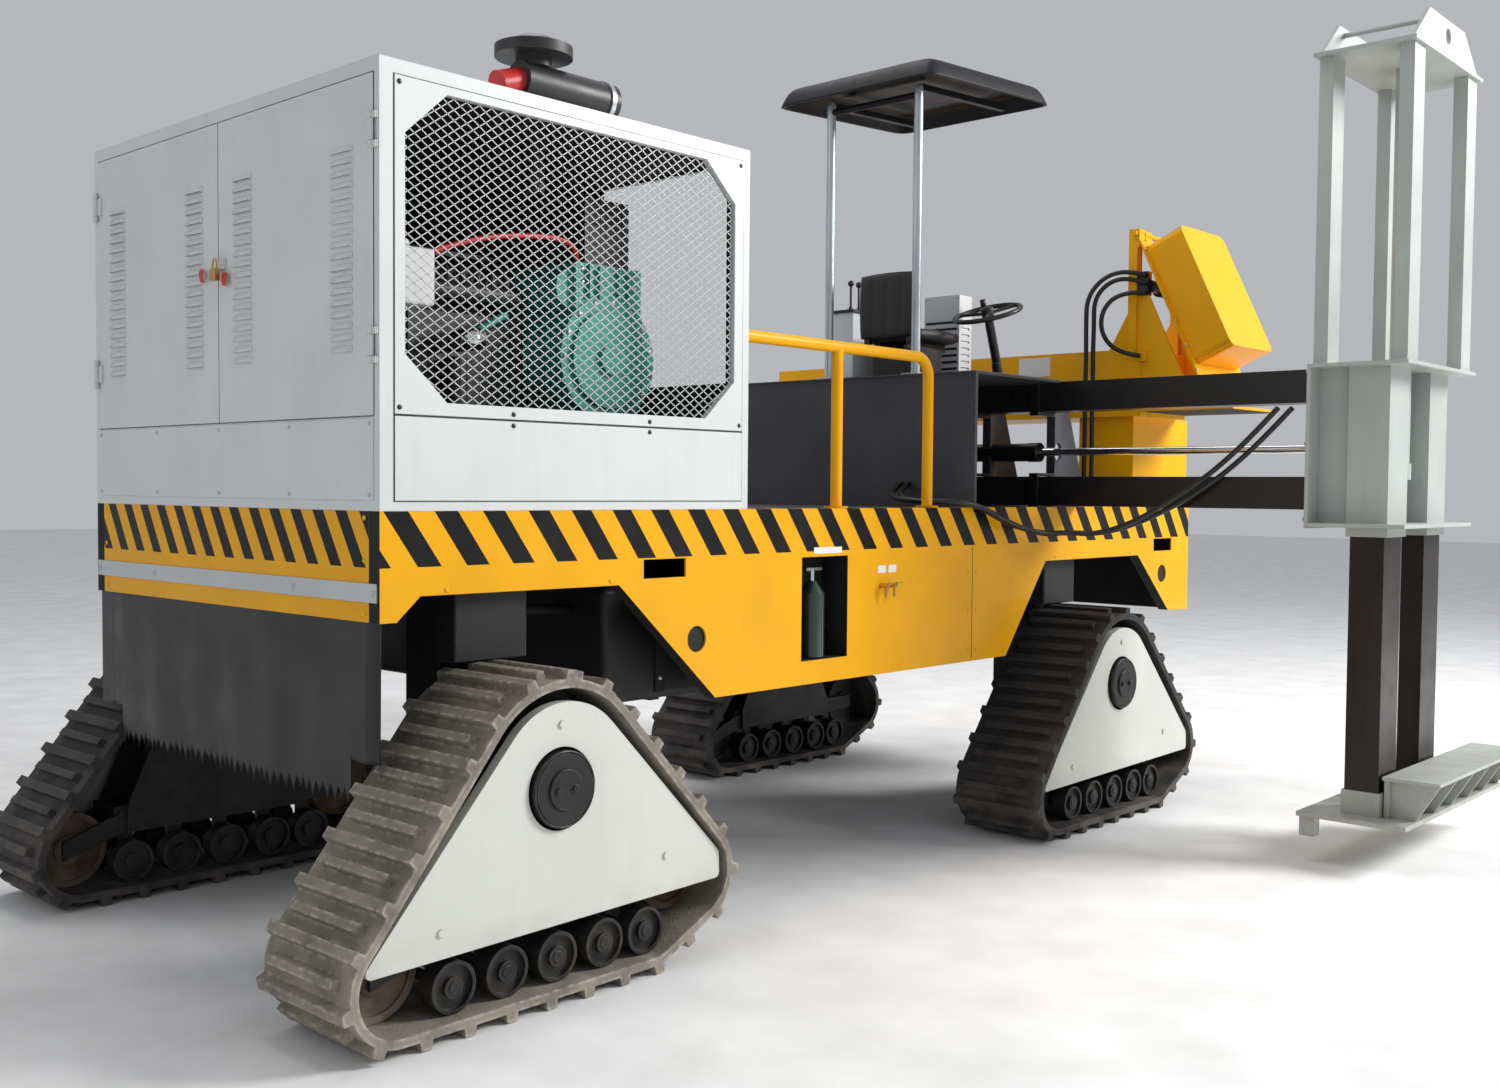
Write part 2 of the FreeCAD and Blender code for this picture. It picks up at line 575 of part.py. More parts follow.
# ---- engine room -----------------------------------------------------------------------
def build_engine_room():
    """Engine, pump set, radiator with fan and the air intake."""
    block = box(560, 1180, -560, -60, 2130, 2760)
    head = box(580, 1160, -500, -120, 2755, 2960)
    rocker = box(620, 1120, -440, -180, 2955, 3050)
    sump = box(620, 1120, -500, -120, 1990, 2135)
    manifold = rod((600, -580, 2850), (1140, -580, 2850), 45)
    filter_can = rod((760, -620, 2330), (760, -620, 2560), 55)
    feet = [box(x, x + 60, -620, 0, DECK_TOP - 1, 1995) for x in (640, 1040)]
    arm = box(745, 775, -600, -540, 2420, 2470)
    parts["engine"] = joined(block, head, rocker, sump, manifold, filter_can, arm, *feet)
    case = rod((PUMP_X, PUMP_Y[0], PUMP_Z), (PUMP_X, PUMP_Y[1], PUMP_Z), PUMP_CASE_R)
    cover = rod((PUMP_X, PUMP_Y[0] - 18, PUMP_Z), (PUMP_X, PUMP_Y[0] + 10, PUMP_Z), PUMP_CASE_R - 60)
    body = box(1290, 1690, PUMP_Y[0] + 10, PUMP_Y[1] - 10, PUMP_Z, 3020)
    lobe = rod((1290, PUMP_Y[0] + 40, 2900), (1290, PUMP_Y[1] - 40, 2900), 90)
    neck = rod((1181, -445, PUMP_Z), (PUMP_X, -445, PUMP_Z), 115)
    terminal = box(1350, 1620, PUMP_Y[0] + 20, PUMP_Y[0] + 260, 3010, 3320)
    stand = box(1300, 1660, PUMP_Y[0] + 40, PUMP_Y[1] - 20, DECK_TOP - 1, 2400)
    parts["pump_generator"] = joined(case, cover, body, lobe, neck, terminal, stand)
    core = box(1860, 1965, 60, 690, 2250, 3180)
    tank = box(1850, 1970, 60, 690, 3180, 3280)
    base = box(1850, 1970, 60, 690, DECK_TOP - 1, 2250)
    shroud = tube_between((1780, 375, 2700), (1862, 375, 2700), 300, 285)
    stub = rod((1755, 375, 2700), (1870, 375, 2700), 20)
    parts["radiator"] = joined(core, tank, base, shroud, stub)
    hub = rod((1760, 375, 2700), (1820, 375, 2700), 60)
    blades = []
    for i in range(6):
        blade = box(-6, 6, -55, 55, 40, 270)
        blade.rotate(V(0, 0, 0), V(0, 0, 1), 62)
        blade.rotate(V(0, 0, 0), V(1, 0, 0), i * 60)
        blade.translate(V(1790, 375, 2700))
        blades.append(blade)
    fan = joined(hub, *blades)
    parts["cooling_fan"] = fan.cut(rod((1750, 375, 2700), (1880, 375, 2700), 20 + FIT))
    x, y, z = INTAKE_X, INTAKE_Y, CANISTER_Z
    stem = rod((x, y, 3300), (x, y, z + 75), 48)
    mushroom = rod((x, y, z + 113), (x, y, z + 160), 172)
    dome = Part.makeSphere(190, V(x, y, z + 25), V(0, 0, 1), 45, 90)
    neck = rod((x, y, z + 70), (x, y, z + 115), 80)
    canister = rod((x - 85, y, z), (x + 445, y, z), 88)
    cap_ring = rod((x + 385, y, z), (x + 410, y, z), 96)
    elbow = rod((x - 75, y, z), (x - 200, y, z - 40), 58)
    feet = [box(foot, foot + 40, y - 60, y + 60, HOUSING_TOP, z - 30) for foot in (x + 110, x + 290)]
    parts["air_intake"] = joined(stem, mushroom, dome, neck, canister, cap_ring, elbow, *feet)


# ---- deck fittings ---------------------------------------------------------------------
def build_handrail():
    """Yellow tube rail beside the walkway, from the housing to the platform."""
    y = RAIL_POST_Y
    near, far = RAIL_POST_X
    level = HANDRAIL_Z
    top = swept_tube([(HOUSING_LENGTH, y, level), (far, y, level), (far, y, DECK_TOP)], HANDRAIL_R, 110)
    middle = rod((near, y, DECK_TOP), (near, y, level - 5), HANDRAIL_R)
    foot = [rod((x, y, DECK_TOP), (x, y, DECK_TOP + 10), 62) for x in RAIL_POST_X]
    parts["handrail"] = joined(top, middle, *foot)


def build_platform():
    x0, x1 = PLATFORM_X
    outer = box(x0, x1, -HALF_WIDTH, HALF_WIDTH, DECK_TOP, PLATFORM_TOP)
    inner = box(x0 + 6, x1 - 6, -HALF_WIDTH + 6, HALF_WIDTH - 6, DECK_TOP + 6, PLATFORM_TOP - 8)
    lid = box(x0 - 12, x1 + 8, -HALF_WIDTH - 6, HALF_WIDTH + 6, PLATFORM_TOP, PLATFORM_TOP + 8)
    bay = box(x0 + 22, x1 + 1, -HALF_WIDTH - 1, BAY_INNER_Y, DECK_TOP - 1, PLATFORM_TOP - 8)
    partition = box(x0 + 6, x1, BAY_INNER_Y, BAY_INNER_Y + 6, DECK_TOP, PLATFORM_TOP)
    parts["platform_base"] = joined(outer.cut(inner).cut(bay), partition, lid)
    floor = PLATFORM_TOP + 8
    poles = []
    for y in POLE_Y:
        top = CANOPY_UNDERSIDE
        poles.append(tube_between((POLE_X, y, floor), (POLE_X, y, top), POLE_R, POLE_R - 4))
        poles.append(box(POLE_X - 60, POLE_X + 60, y - 60, y + 60, floor, floor + 8).cut(
            rod((POLE_X, y, floor - 1), (POLE_X, y, floor + 9), POLE_R - 4)))
    bar = rod((POLE_X, POLE_Y[0], CANOPY_UNDERSIDE - 45),
              (POLE_X, POLE_Y[1], CANOPY_UNDERSIDE - 45), 20)
    arms = []
    for y in POLE_Y:
        arm = box(0, 900, y - 20, y + 20, -18, 18)
        arm.rotate(V(0, 0, 0), V(0, 1, 0), -CANOPY_RISE)
        arm.translate(V(POLE_X, 0, CANOPY_UNDERSIDE))
        arms.append(arm)
    parts["canopy_poles"] = joined(bar, *poles, *arms)
    parts["canopy"] = make_canopy()
    parts["canopy"] = parts["canopy"].cut(parts["canopy_poles"])


def make_canopy():
    """Moulded roof: a shallow hollow shell with drawn-in top, rising a little forward."""
    x0, x1 = CANOPY_X
    y0, y1 = CANOPY_Y
    z = CANOPY_UNDERSIDE

    def ring(inset, height):
        pts = [V(x0 + inset, y0 + inset, height), V(x1 - inset, y0 + inset, height),
               V(x1 - inset, y1 - inset, height), V(x0 + inset, y1 - inset, height)]
        return Part.makePolygon(pts + pts[:1])

    outer = Part.makeLoft([ring(0, z), ring(30, z + 120), ring(190, z + 134)], True, True)
    inner = Part.makeLoft([ring(20, z - 5), ring(48, z + 100), ring(190, z + 114)], True, True)
    shell = outer.cut(inner)
    shell.rotate(V(x0, 0, z), V(0, 1, 0), -CANOPY_RISE)
    return shell


def build_controls():
    floor = PLATFORM_TOP + 8
    y = SEAT_Y
    base = box(4150, 4450, y - 150, y + 150, floor, floor + 180)
    rails = [box(4120, 4520, y + o - 15, y + o + 15, floor + 180, floor + 200) for o in (-120, 120)]
    parts["seat_base"] = joined(base, *rails)
    pan = box(4130, 4560, y - 220, y + 220, floor + 222, floor + 300)
    pan = pan.makeFillet(25, pan.Edges)
    back = box(4070, 4150, y - 215, y + 215, floor + 240, floor + 640)
    back = back.makeFillet(25, back.Edges)
    runners = [box(4150, 4500, y + o - 22, y + o + 22, floor + 200.5, floor + 225) for o in (-120, 120)]
    parts["seat"] = group(joined(pan, *runners), back.cut(pan))
    wx, wy, wz = 4640, -790, 3100
    tilt = math.radians(20)
    top = (wx, wy, wz)
    low = (wx + math.sin(tilt) * 380, wy, wz - math.cos(tilt) * 380)
    column = rod((wx + math.sin(tilt) * 30, wy, wz - math.cos(tilt) * 30), low, 28)
    shaft = rod((wx - math.sin(tilt) * 12, wy, wz + math.cos(tilt) * 12), low, 12)
    foot_x = 4765
    strut = rod((foot_x, wy, floor + 9), (low[0] - 25, wy, low[2] + 60), 30)
    foot = box(foot_x - 60, foot_x + 60, wy - 60, wy + 60, floor, floor + 14)
    parts["steering_column"] = joined(column, shaft, strut, foot)
    rim = Part.makeTorus(205, 15, V(0, 0, 0), V(0, 0, 1))
    hub = rod((0, 0, -25), (0, 0, 25), 38)
    spokes = []
    for i in range(3):
        angle = math.radians(90 + i * 120)
        spokes.append(rod((0, 0, 0), (200 * math.cos(angle), 200 * math.sin(angle), 0), 11))
    wheel = joined(rim, hub, *spokes).cut(rod((0, 0, -40), (0, 0, 40), 12 + FIT))
    wheel.rotate(V(0, 0, 0), V(0, 1, 0), -20)
    wheel.translate(V(wx, wy, wz))
    parts["steering_wheel"] = wheel
    parts["steering_column"] = parts["steering_column"].cut(
        rod(top, (wx + math.sin(tilt) * 26, wy, wz - math.cos(tilt) * 26), 300).cut(
            rod(top, low, 12)))
    cab = box(4690, 4830, -545, -275, floor, floor + 560)
    vents = [box(4715, 4805, -550, -537, floor + 90 + i * 42, floor + 104 + i * 42) for i in range(8)]
    parts["control_cabinet"] = cab.cut(group(*vents))
    parts["lever_console"] = joined(box(4120, 4460, -140, 10, floor, floor + 425),
                                    box(4110, 4470, -150, 20, floor + 425, floor + 445))
    levers = []
    for x in (4190, 4270, 4350):
        stick = rod((x, LEVER_Y, floor + 455), (x, LEVER_Y, floor + 605), 7)
        knob = Part.makeSphere(20, V(x, LEVER_Y, floor + 617))
        boot = Part.makeCone(15, 10, 24, V(x, LEVER_Y, floor + 451))
        levers.extend([stick, knob, boot])
    pivot = rod((4160, LEVER_Y, floor + 451), (4380, LEVER_Y, floor + 451), 5.5)
    parts["control_levers"] = joined(pivot, *levers)


# ---- front group -----------------------------------------------------------------------
def build_front():
    """Yellow boxes on the deck, the cross beam, and the stand with its tilted hood."""
    lower = [box(5780, 6560, -1190, -790, DECK_TOP, 2500), box(5780, 6560, 790, 1190, DECK_TOP, 2500)]
    left, top = CROSS_BEAM_LEFT, CROSS_BEAM_TOP
    beam = box(5740, 6380, -1260, left, 2500, top)
    beam = beam.cut(box(5760, 6360, -1245, left - 15, 2520, top - 20))
    shelf = box(5720, 6400, -1900, -1250, 2528, 2546)
    posts = [box(x, x + 70, -1225, -1165, 2915, 3640) for x in (5725, 6325)]
    side = [(-1000, 2900), (-1250, 2540), (-1540, 2540), (-1560, 2730), (-1300, 3290), (-1225, 3300)]
    cheeks = [plate_yz(side, x, x + 14) for x in (5745, 6361)]
    hinge = rod((5700, HOOD_HINGE[0], HOOD_HINGE[1]), (6420, HOOD_HINGE[0], HOOD_HINGE[1]), 16 - FIT)
    ears = []
    for x in (5725, 6325):
        ears.append(box(x, x + 70, -1240, -1165, 3600, 3720))
    port = box(5722, 5746, -1303, -1233, 2855, 2925)
    parts["front_structure"] = joined(beam, shelf, hinge, port, *lower, *posts, *cheeks, *ears)

    length = 1060
    flange = box(HOOD_X[0], HOOD_X[1], -14, 0, -length, -60)
    hood = box(HOOD_X[0] + 45, HOOD_X[1] - 15, -270, -10, -length + 95, -90)
    long_edges = [e for e in hood.Edges if abs(e.BoundBox.YLength) > 200]
    hood = hood.makeFillet(55, long_edges)
    inner = box(HOOD_X[0] + 53, HOOD_X[1] - 23, -262, 5, -length + 103, -98)
    straps = []
    for x in (5800, 6200):
        straps.append(box(x, x + 90, -14, 0, -70, 0))
        straps.append(rod((x, 0, 0), (x + 90, 0, 0), 30))
    cover = joined(flange, hood, *straps).cut(inner)
    cover = cover.cut(rod((5700, 0, 0), (6420, 0, 0), 16))
    cover.rotate(V(0, 0, 0), V(1, 0, 0), -HOOD_TILT)
    cover.translate(V(0, HOOD_HINGE[0], HOOD_HINGE[1]))
    parts["tilt_hood"] = cover
    motor = joined(rod((5775, -1298, 3345), (6345, -1298, 3345), 40),
                   rod((5900, -1298, 3345), (6220, -1298, 3345), 58),
                   box(5735, 5790, -1298, -1225.5, 3284, 3440), box(6330, 6385, -1298, -1225.5, 3325, 3365))
    parts["front_structure"] = group(parts["front_structure"], motor.cut(parts["front_structure"]))


# ---- side shift and mast ---------------------------------------------------------------
def build_side_shift():
    size = BEAM_SIZE
    beams = []
    for z in BEAM_Z:
        beam = box(BEAM_X, BEAM_X + size, FLANGE_Y, BEAM_INNER_Y, z, z + size)
        beams.append(beam.cut(box(BEAM_X + 12, BEAM_X + size - 12, FLANGE_Y, BEAM_INNER_Y + 1,
                                  z + 12, z + size - 12)))
    push_rod = rod((SHIFT_X, FLANGE_Y, SHIFT_Z), (SHIFT_X, 60, SHIFT_Z), SHIFT_ROD_R)
    parts["side_beams"] = group(push_rod, *beams)
    guides = []
    wall = 22
    gap = 3
    for y in (-1040, -560, -60):
        for z in BEAM_Z:
            low = max(z - wall - gap, DECK_TOP)
            collar = box(BEAM_X - 20, BEAM_X + size + wall, y, y + 60, low, z + size + wall)
            guides.append(collar)
        guides.append(box(BEAM_X + size + gap, BEAM_X + size + 60, y, y + 60, DECK_TOP, 2700))
        rib = [(BEAM_X + size + 40, DECK_TOP), (5480, DECK_TOP), (5180, 2690), (BEAM_X + size + 40, 2690)]
        guides.append(plate_xz(rib, y + 20, y + 40))
    guides = joined(*guides)
    for z in BEAM_Z:
        guides = guides.cut(box(BEAM_X - gap, BEAM_X + size + gap, -1100, 100, z - gap, z + size + gap))
    cylinder = rod((SHIFT_X, -1100, SHIFT_Z), (SHIFT_X, 100, SHIFT_Z), 62)
    parts["arm_guides"] = guides.cut(cylinder)
    barrel = rod((SHIFT_X, -880, SHIFT_Z), (SHIFT_X, 1120, SHIFT_Z), 58)
    head = rod((SHIFT_X, -900, SHIFT_Z), (SHIFT_X, -820, SHIFT_Z), 61.5)
    support = box(SHIFT_X - 40, SHIFT_X + 40, 1060, 1120, DECK_TOP, SHIFT_Z)
    bore = rod((SHIFT_X, -901, SHIFT_Z), (SHIFT_X, 1090, SHIFT_Z), SHIFT_ROD_R + FIT)
    parts["shift_barrel"] = joined(barrel, head, support).cut(bore)


def sleeve_tube(x, z0, z1):
    """Outer guide tube round one column."""
    reach = SLEEVE_GAP + SLEEVE_WALL
    outer = box(x - reach, x + COLUMN_LENGTH_X + reach, COLUMN_Y[0] - reach, COLUMN_Y[1] + reach, z0, z1)
    return outer


def column_space(x, z0, z1):
    gap = SLEEVE_GAP
    return box(x - gap, x + COLUMN_LENGTH_X + gap, COLUMN_Y[0] - gap, COLUMN_Y[1] + gap, z0, z1)


def build_mast():
    x0, x1 = MAST_X
    low, high = SLEEVE_Z
    flange = box(x0 - 20, x1 - 180, FLANGE_Y - 22, FLANGE_Y, low - 8, high)
    bottom = box(x0 - 30, x1 + 20, MAST_OUTER_Y - 20, FLANGE_Y - 20, low, low + 22)
    top = box(x0 - 30, x1 + 30, MAST_OUTER_Y - 20, FLANGE_Y - 20, high - 20, high)
    tubes = [sleeve_tube(x, low - 50, high) for x in COLUMN_X]
    web = box(x0 + 120, x0 + 140, COLUMN_Y[1], FLANGE_Y - 20, low, high)
    web_front = box(x1 - 220, x1 - 200, COLUMN_Y[1], FLANGE_Y - 20, low, high)
    sleeve = joined(flange, bottom, top, *tubes, web, web_front)
    for x in COLUMN_X:
        sleeve = sleeve.cut(column_space(x, low - 100, high + 10))
    sleeve = sleeve.cut(rod((LIFT_X, LIFT_Y, low - 60), (LIFT_X, LIFT_Y, high + 10), LIFT_BARREL_R + 16))
    parts["mast_sleeve"] = sleeve

    posts = []
    for x in (x0 + 15, x1 - 15 - POST_X):
        for y in (MAST_OUTER_Y, FLANGE_Y - 20 - POST_Y):
            posts.append(box(x, x + POST_X, y, y + POST_Y, high, TOWER_TOP - 20))
    cap = box(x0 - 25, x1 + 25, MAST_OUTER_Y - 20, FLANGE_Y, TOWER_TOP - 20, TOWER_TOP)
    lugs = []
    lug_outline = [(x0, TOWER_TOP), (x0 + 230, LUG_TOP), (x1 - 260, LUG_TOP), (x1, TOWER_TOP)]
    centre = (x0 + x1) / 2
    for y in (MAST_OUTER_Y, FLANGE_Y - 40):
        lug = plate_xz(lug_outline, y, y + 20)
        lugs.append(lug.cut(rod((centre, y - 5, 4475), (centre, y + 25, 4475), LUG_BORE_R)))
    bar = rod((x0 + 300, MAST_OUTER_Y + 10, 4520), (x0 + 300, FLANGE_Y - 30, 4520), 14)
    parts["mast_tower"] = joined(cap, bar, *posts, *lugs)

    barrel = rod((LIFT_X, LIFT_Y, 2120), (LIFT_X, LIFT_Y, 4180), LIFT_BARREL_R)
    gland = rod((LIFT_X, LIFT_Y, 2080), (LIFT_X, LIFT_Y, 2170), LIFT_BARREL_R + 10)
    hanger = box(LIFT_X - 45, LIFT_X + 45, LIFT_Y - 45, LIFT_Y + 45, 4180, TOWER_TOP - 20)
    bore = rod((LIFT_X, LIFT_Y, 2070), (LIFT_X, LIFT_Y, 4120), LIFT_ROD_R + FIT)
    parts["lift_barrel"] = joined(barrel, gland, hanger).cut(bore)

    columns = []
    for x in COLUMN_X:
        outer = box(x, x + COLUMN_LENGTH_X, COLUMN_Y[0], COLUMN_Y[1], FOOT_PLATE_Z[1], COLUMN_TOP)
        columns.append(outer.cut(box(x + 12, x + COLUMN_LENGTH_X - 12, COLUMN_Y[0] + 12,
                                     COLUMN_Y[1] - 12, FOOT_PLATE_Z[1], COLUMN_TOP + 1)))
    parts["lift_columns"] = group(*columns)
    parts["lift_rod"] = joined(rod((LIFT_X, LIFT_Y, 420), (LIFT_X, LIFT_Y, 2820), LIFT_ROD_R),
                               box(LIFT_X - 30, LIFT_X + 30, LIFT_Y - 30, LIFT_Y + 30, 340, 440))
    parts["lift_rod"] = parts["lift_rod"].cut(rod((LIFT_X - 40, LIFT_Y, 380), (LIFT_X + 40, LIFT_Y, 380),
                                                  LIFT_PIN_R + FIT))
    build_foot()


def build_foot():
    """Base plate, column sockets, rod clevis and the outward shelf with its gussets."""
    low, high = FOOT_PLATE_Z
    plate = box(4790, 5950, -3300, -2725, low, high)
    block = box(4800, 4880, -2820, -2740, 140, low)
    back = box(4960, 6440, -3160, -3130, high, SHELF_TOP - 18)
    shelf = box(4940, 6460, SHELF_Y, -3125, SHELF_TOP - 18, SHELF_TOP)
    toe = box(5940, 6440, -3300, -3125, low, high)
    gussets = []
    for i in range(6):
        x = 4980 + i * 286
        outline = [(-3155, high), (-3290, high), (SHELF_Y + 10, SHELF_TOP - 18), (-3155, SHELF_TOP - 18)]
        gussets.append(plate_yz(outline, x, x + 16))
    ears = [box(LIFT_X - 45, LIFT_X - 31, LIFT_Y - 40, LIFT_Y + 40, high, 430),
            box(LIFT_X + 31, LIFT_X + 45, LIFT_Y - 40, LIFT_Y + 40, high, 430),
            rod((LIFT_X - 52, LIFT_Y, 380), (LIFT_X + 52, LIFT_Y, 380), LIFT_PIN_R)]
    sockets = []
    for x in COLUMN_X:
        outer = box(x - 12, x + COLUMN_LENGTH_X + 12, COLUMN_Y[0] - 12, COLUMN_Y[1] + 12, high, 400)
        sockets.append(outer.cut(box(x, x + COLUMN_LENGTH_X, COLUMN_Y[0], COLUMN_Y[1], high, 401)))
    parts["foot_shoe"] = joined(plate, block, back, shelf, toe, *gussets, *ears, *sockets)


# ---- fittings and hoses ----------------------------------------------------------------
def build_fittings():
    bottle = rod((2590, -1110, 1156), (2590, -1110, 1480), 68)
    shoulder = Part.makeCone(68, 24, 60, V(2590, -1110, 1480))
    valve = rod((2590, -1110, 1540), (2590, -1110, 1600), 16)
    grip = box(2540, 2660, -1122, -1098, 1590, 1606)
    extinguisher = joined(bottle, shoulder, valve, grip)
    taps = []
    for x in (3050, 3120):
        body = rod((x, -HALF_WIDTH, 1500), (x, -HALF_WIDTH - 50, 1500), 14)
        spout = rod((x, -HALF_WIDTH - 38, 1500), (x, -HALF_WIDTH - 38, 1440), 9)
        lever = box(x - 8, x + 40, -HALF_WIDTH - 62, -HALF_WIDTH - 50, 1508, 1518)
        stem = rod((x, -HALF_WIDTH - 50, 1500), (x, -HALF_WIDTH - 58, 1512), 7)
        taps.append(joined(body, spout, lever, stem))
    parts["service_fittings"] = group(extinguisher, *taps)


def build_hoses():
    """The slack pair to the mast, and the risers and the short loop at the tilted box."""
    pair = [swept_tube(points, HOSE_R, None, "arm hose") for points in (ARM_HOSE_NEAR, ARM_HOSE_FAR)]
    parts["arm_hoses"] = group(*pair)
    routes = (HOOD_HOSE_INNER, HOOD_HOSE_OUTER, HOOD_HOSE_LOOP)
    parts["hood_hoses"] = group(*[swept_tube(points, HOSE_R, None, "hood hose") for points in routes])


def export_all():
    """Move everything to the footprint's centre and write one file for every node."""
    os.makedirs("parts", exist_ok=True)
    bounds = FreeCAD.BoundBox()
    for shape in parts.values():
        bounds.add(shape.BoundBox)
    shift = V(-bounds.Center.x, -bounds.Center.y, -bounds.ZMin)
    print("origin shift", round(shift.x, 3), round(shift.y, 3), round(shift.z, 3))
    print("size", round(bounds.XLength), round(bounds.YLength), round(bounds.ZLength))
    for name, shape in parts.items():
        shape.translate(shift)
        valid = shape.isValid()
        if not valid or not shape.Solids:
            print("PROBLEM", name, "valid", valid, "solids", len(shape.Solids))
        shape.exportStep(f"parts/{name}.step")
    print(len(parts), "nodes")


build_chassis()
build_tracks()
build_housing()
build_engine_room()
build_handrail()
build_platform()
build_controls()
build_front()
build_side_shift()
build_mast()
build_fittings()
build_hoses()
export_all()
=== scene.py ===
"""Looks for the four-track work machine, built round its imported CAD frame.

Lengths are in metres.  Chassis coordinates, used below, have x = 0 at the rear panel, y = 0 on
the centreline and z = 0 on the ground; at() turns them into the frame's own coordinates.
"""

import math

import bmesh
import bpy
from mathutils import Matrix, Vector


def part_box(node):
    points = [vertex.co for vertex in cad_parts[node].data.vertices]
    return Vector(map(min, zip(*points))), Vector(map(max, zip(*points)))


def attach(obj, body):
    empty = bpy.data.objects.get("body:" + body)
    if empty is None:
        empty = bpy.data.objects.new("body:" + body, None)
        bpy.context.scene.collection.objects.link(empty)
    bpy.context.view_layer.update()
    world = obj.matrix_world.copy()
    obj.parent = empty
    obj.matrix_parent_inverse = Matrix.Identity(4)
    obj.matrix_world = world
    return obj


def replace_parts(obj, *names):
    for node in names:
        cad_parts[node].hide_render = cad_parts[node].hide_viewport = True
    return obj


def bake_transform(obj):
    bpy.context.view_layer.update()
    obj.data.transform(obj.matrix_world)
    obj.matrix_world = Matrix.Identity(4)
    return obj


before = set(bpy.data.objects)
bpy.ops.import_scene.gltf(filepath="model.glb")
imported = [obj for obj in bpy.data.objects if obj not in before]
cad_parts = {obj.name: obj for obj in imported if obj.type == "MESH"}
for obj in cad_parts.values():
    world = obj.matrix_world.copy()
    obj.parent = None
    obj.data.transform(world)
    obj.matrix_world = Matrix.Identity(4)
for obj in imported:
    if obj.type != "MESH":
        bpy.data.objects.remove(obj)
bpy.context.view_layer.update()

DECK_TOP = 1.906
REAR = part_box("end_panels")[0][0]
MIDDLE = (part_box("chassis_frame")[0][1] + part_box("chassis_frame")[1][1]) / 2
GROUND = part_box("end_panels")[1][2] - DECK_TOP
ORIGIN = Vector((REAR, MIDDLE, GROUND))
HALF_WIDTH = 1.2
PLATFORM_TOP = 2.682
SIDES = ((-1, "right"), (1, "left"))
UNITS = [(end, side) for end in ("rear", "front") for side in ("right", "left")]
HUB_X = {"rear": 0.578, "front": 4.99}


def at(x, y, z):
    """Chassis coordinates to frame coordinates."""
    return ORIGIN + Vector((x, y, z))


# ---- camera and stage ------------------------------------------------------------------
def make_camera():
    """A 35 mm lens behind the machine's rear right corner, at eye height."""
    data = bpy.data.cameras.new("camera")
    data.lens = 35.0
    data.sensor_width = 36.0
    data.clip_end = 100
    camera = bpy.data.objects.new("camera", data)
    heading = math.radians(42.53)
    pitch = math.radians(-2.16)
    roll = math.radians(0.47)
    forward = Vector((math.cos(pitch) * math.cos(heading), math.cos(pitch) * math.sin(heading),
                      math.sin(pitch)))
    right = Vector((math.sin(heading), -math.cos(heading), 0))
    up = right.cross(forward)
    turn = Matrix.Rotation(-roll, 3, forward)
    right = turn @ right
    up = turn @ up
    rotation = Matrix((right, up, -forward)).transposed()
    camera.matrix_world = Matrix.Translation(at(-3.05, -5.86, 2.0)) @ rotation.to_4x4()
    bpy.context.collection.objects.link(camera)
    bpy.context.scene.camera = camera


def make_stage():
    """Pale floor, pale surroundings, a broad key from the right and soft fills."""
    mesh = bpy.data.meshes.new("floor")
    size, height = 60, -0.002
    mesh.from_pydata([(-size, -size, height), (size, -size, height), (size, size, height),
                      (-size, size, height)], [], [(0, 1, 2, 3)])
    floor = bpy.data.objects.new("floor", mesh)
    bpy.context.collection.objects.link(floor)
    floor.data.materials.append(surface("floor_pale", (0.83, 0.83, 0.82), 0.8, grain=0.02))
    world = bpy.data.worlds.new("studio")
    bpy.context.scene.world = world
    world.use_nodes = True
    world.node_tree.nodes["Background"].inputs[0].default_value = (0.93, 0.95, 1.0, 1)
    world.node_tree.nodes["Background"].inputs[1].default_value = 0.50
    bpy.context.scene.view_settings.view_transform = "Standard"
    lamp("key", at(12.5, -11, 9), at(2.5, -1, 1.5), 5.0, 2500)
    lamp("rear_fill", at(-10, 3, 6), at(0, 0, 1.8), 6.0, 80)
    lamp("top_fill", at(3, 2, 12), at(3, 0, 1), 7.0, 500)


def lamp(name, where, target, size, power):
    """A square lamp that faces a target."""
    data = bpy.data.lights.new(name, "AREA")
    data.size = size
    data.energy = power
    light = bpy.data.objects.new(name, data)
    light.location = where
    light.rotation_euler = (target - where).to_track_quat("-Z", "Y").to_euler()
    bpy.context.collection.objects.link(light)


# ---- materials -------------------------------------------------------------------------
def noise(tree, scale, detail=4.0, stretch=(1, 1, 1)):
    """A noise value that stays with the object, stretched along its axes."""
    coords = tree.nodes.new("ShaderNodeTexCoord")
    mapping = tree.nodes.new("ShaderNodeMapping")
    mapping.inputs["Scale"].default_value = stretch
    texture = tree.nodes.new("ShaderNodeTexNoise")
    texture.inputs["Scale"].default_value = scale
    texture.inputs["Detail"].default_value = detail
    tree.links.new(coords.outputs["Object"], mapping.inputs["Vector"])
    tree.links.new(mapping.outputs["Vector"], texture.inputs["Vector"])
    return texture.outputs["Fac"]


def ramp(tree, value, low, high, out_low=0.0, out_high=1.0):
    """Carries a value from one range to another, held at the ends."""
    node = tree.nodes.new("ShaderNodeMapRange")
    node.inputs["From Min"].default_value = low
    node.inputs["From Max"].default_value = high
    node.inputs["To Min"].default_value = out_low
    node.inputs["To Max"].default_value = out_high
    tree.links.new(value, node.inputs["Value"])
    return node.outputs["Result"]


def math_node(tree, operation, first, second=0):
    """A sum of two values, each a number or a socket."""
    node = tree.nodes.new("ShaderNodeMath")
    node.operation = operation
    for socket, value in zip(node.inputs, (first, second)):
        if isinstance(value, (int, float)):
            socket.default_value = value
        else:
            tree.links.new(value, socket)
    return node.outputs[0]


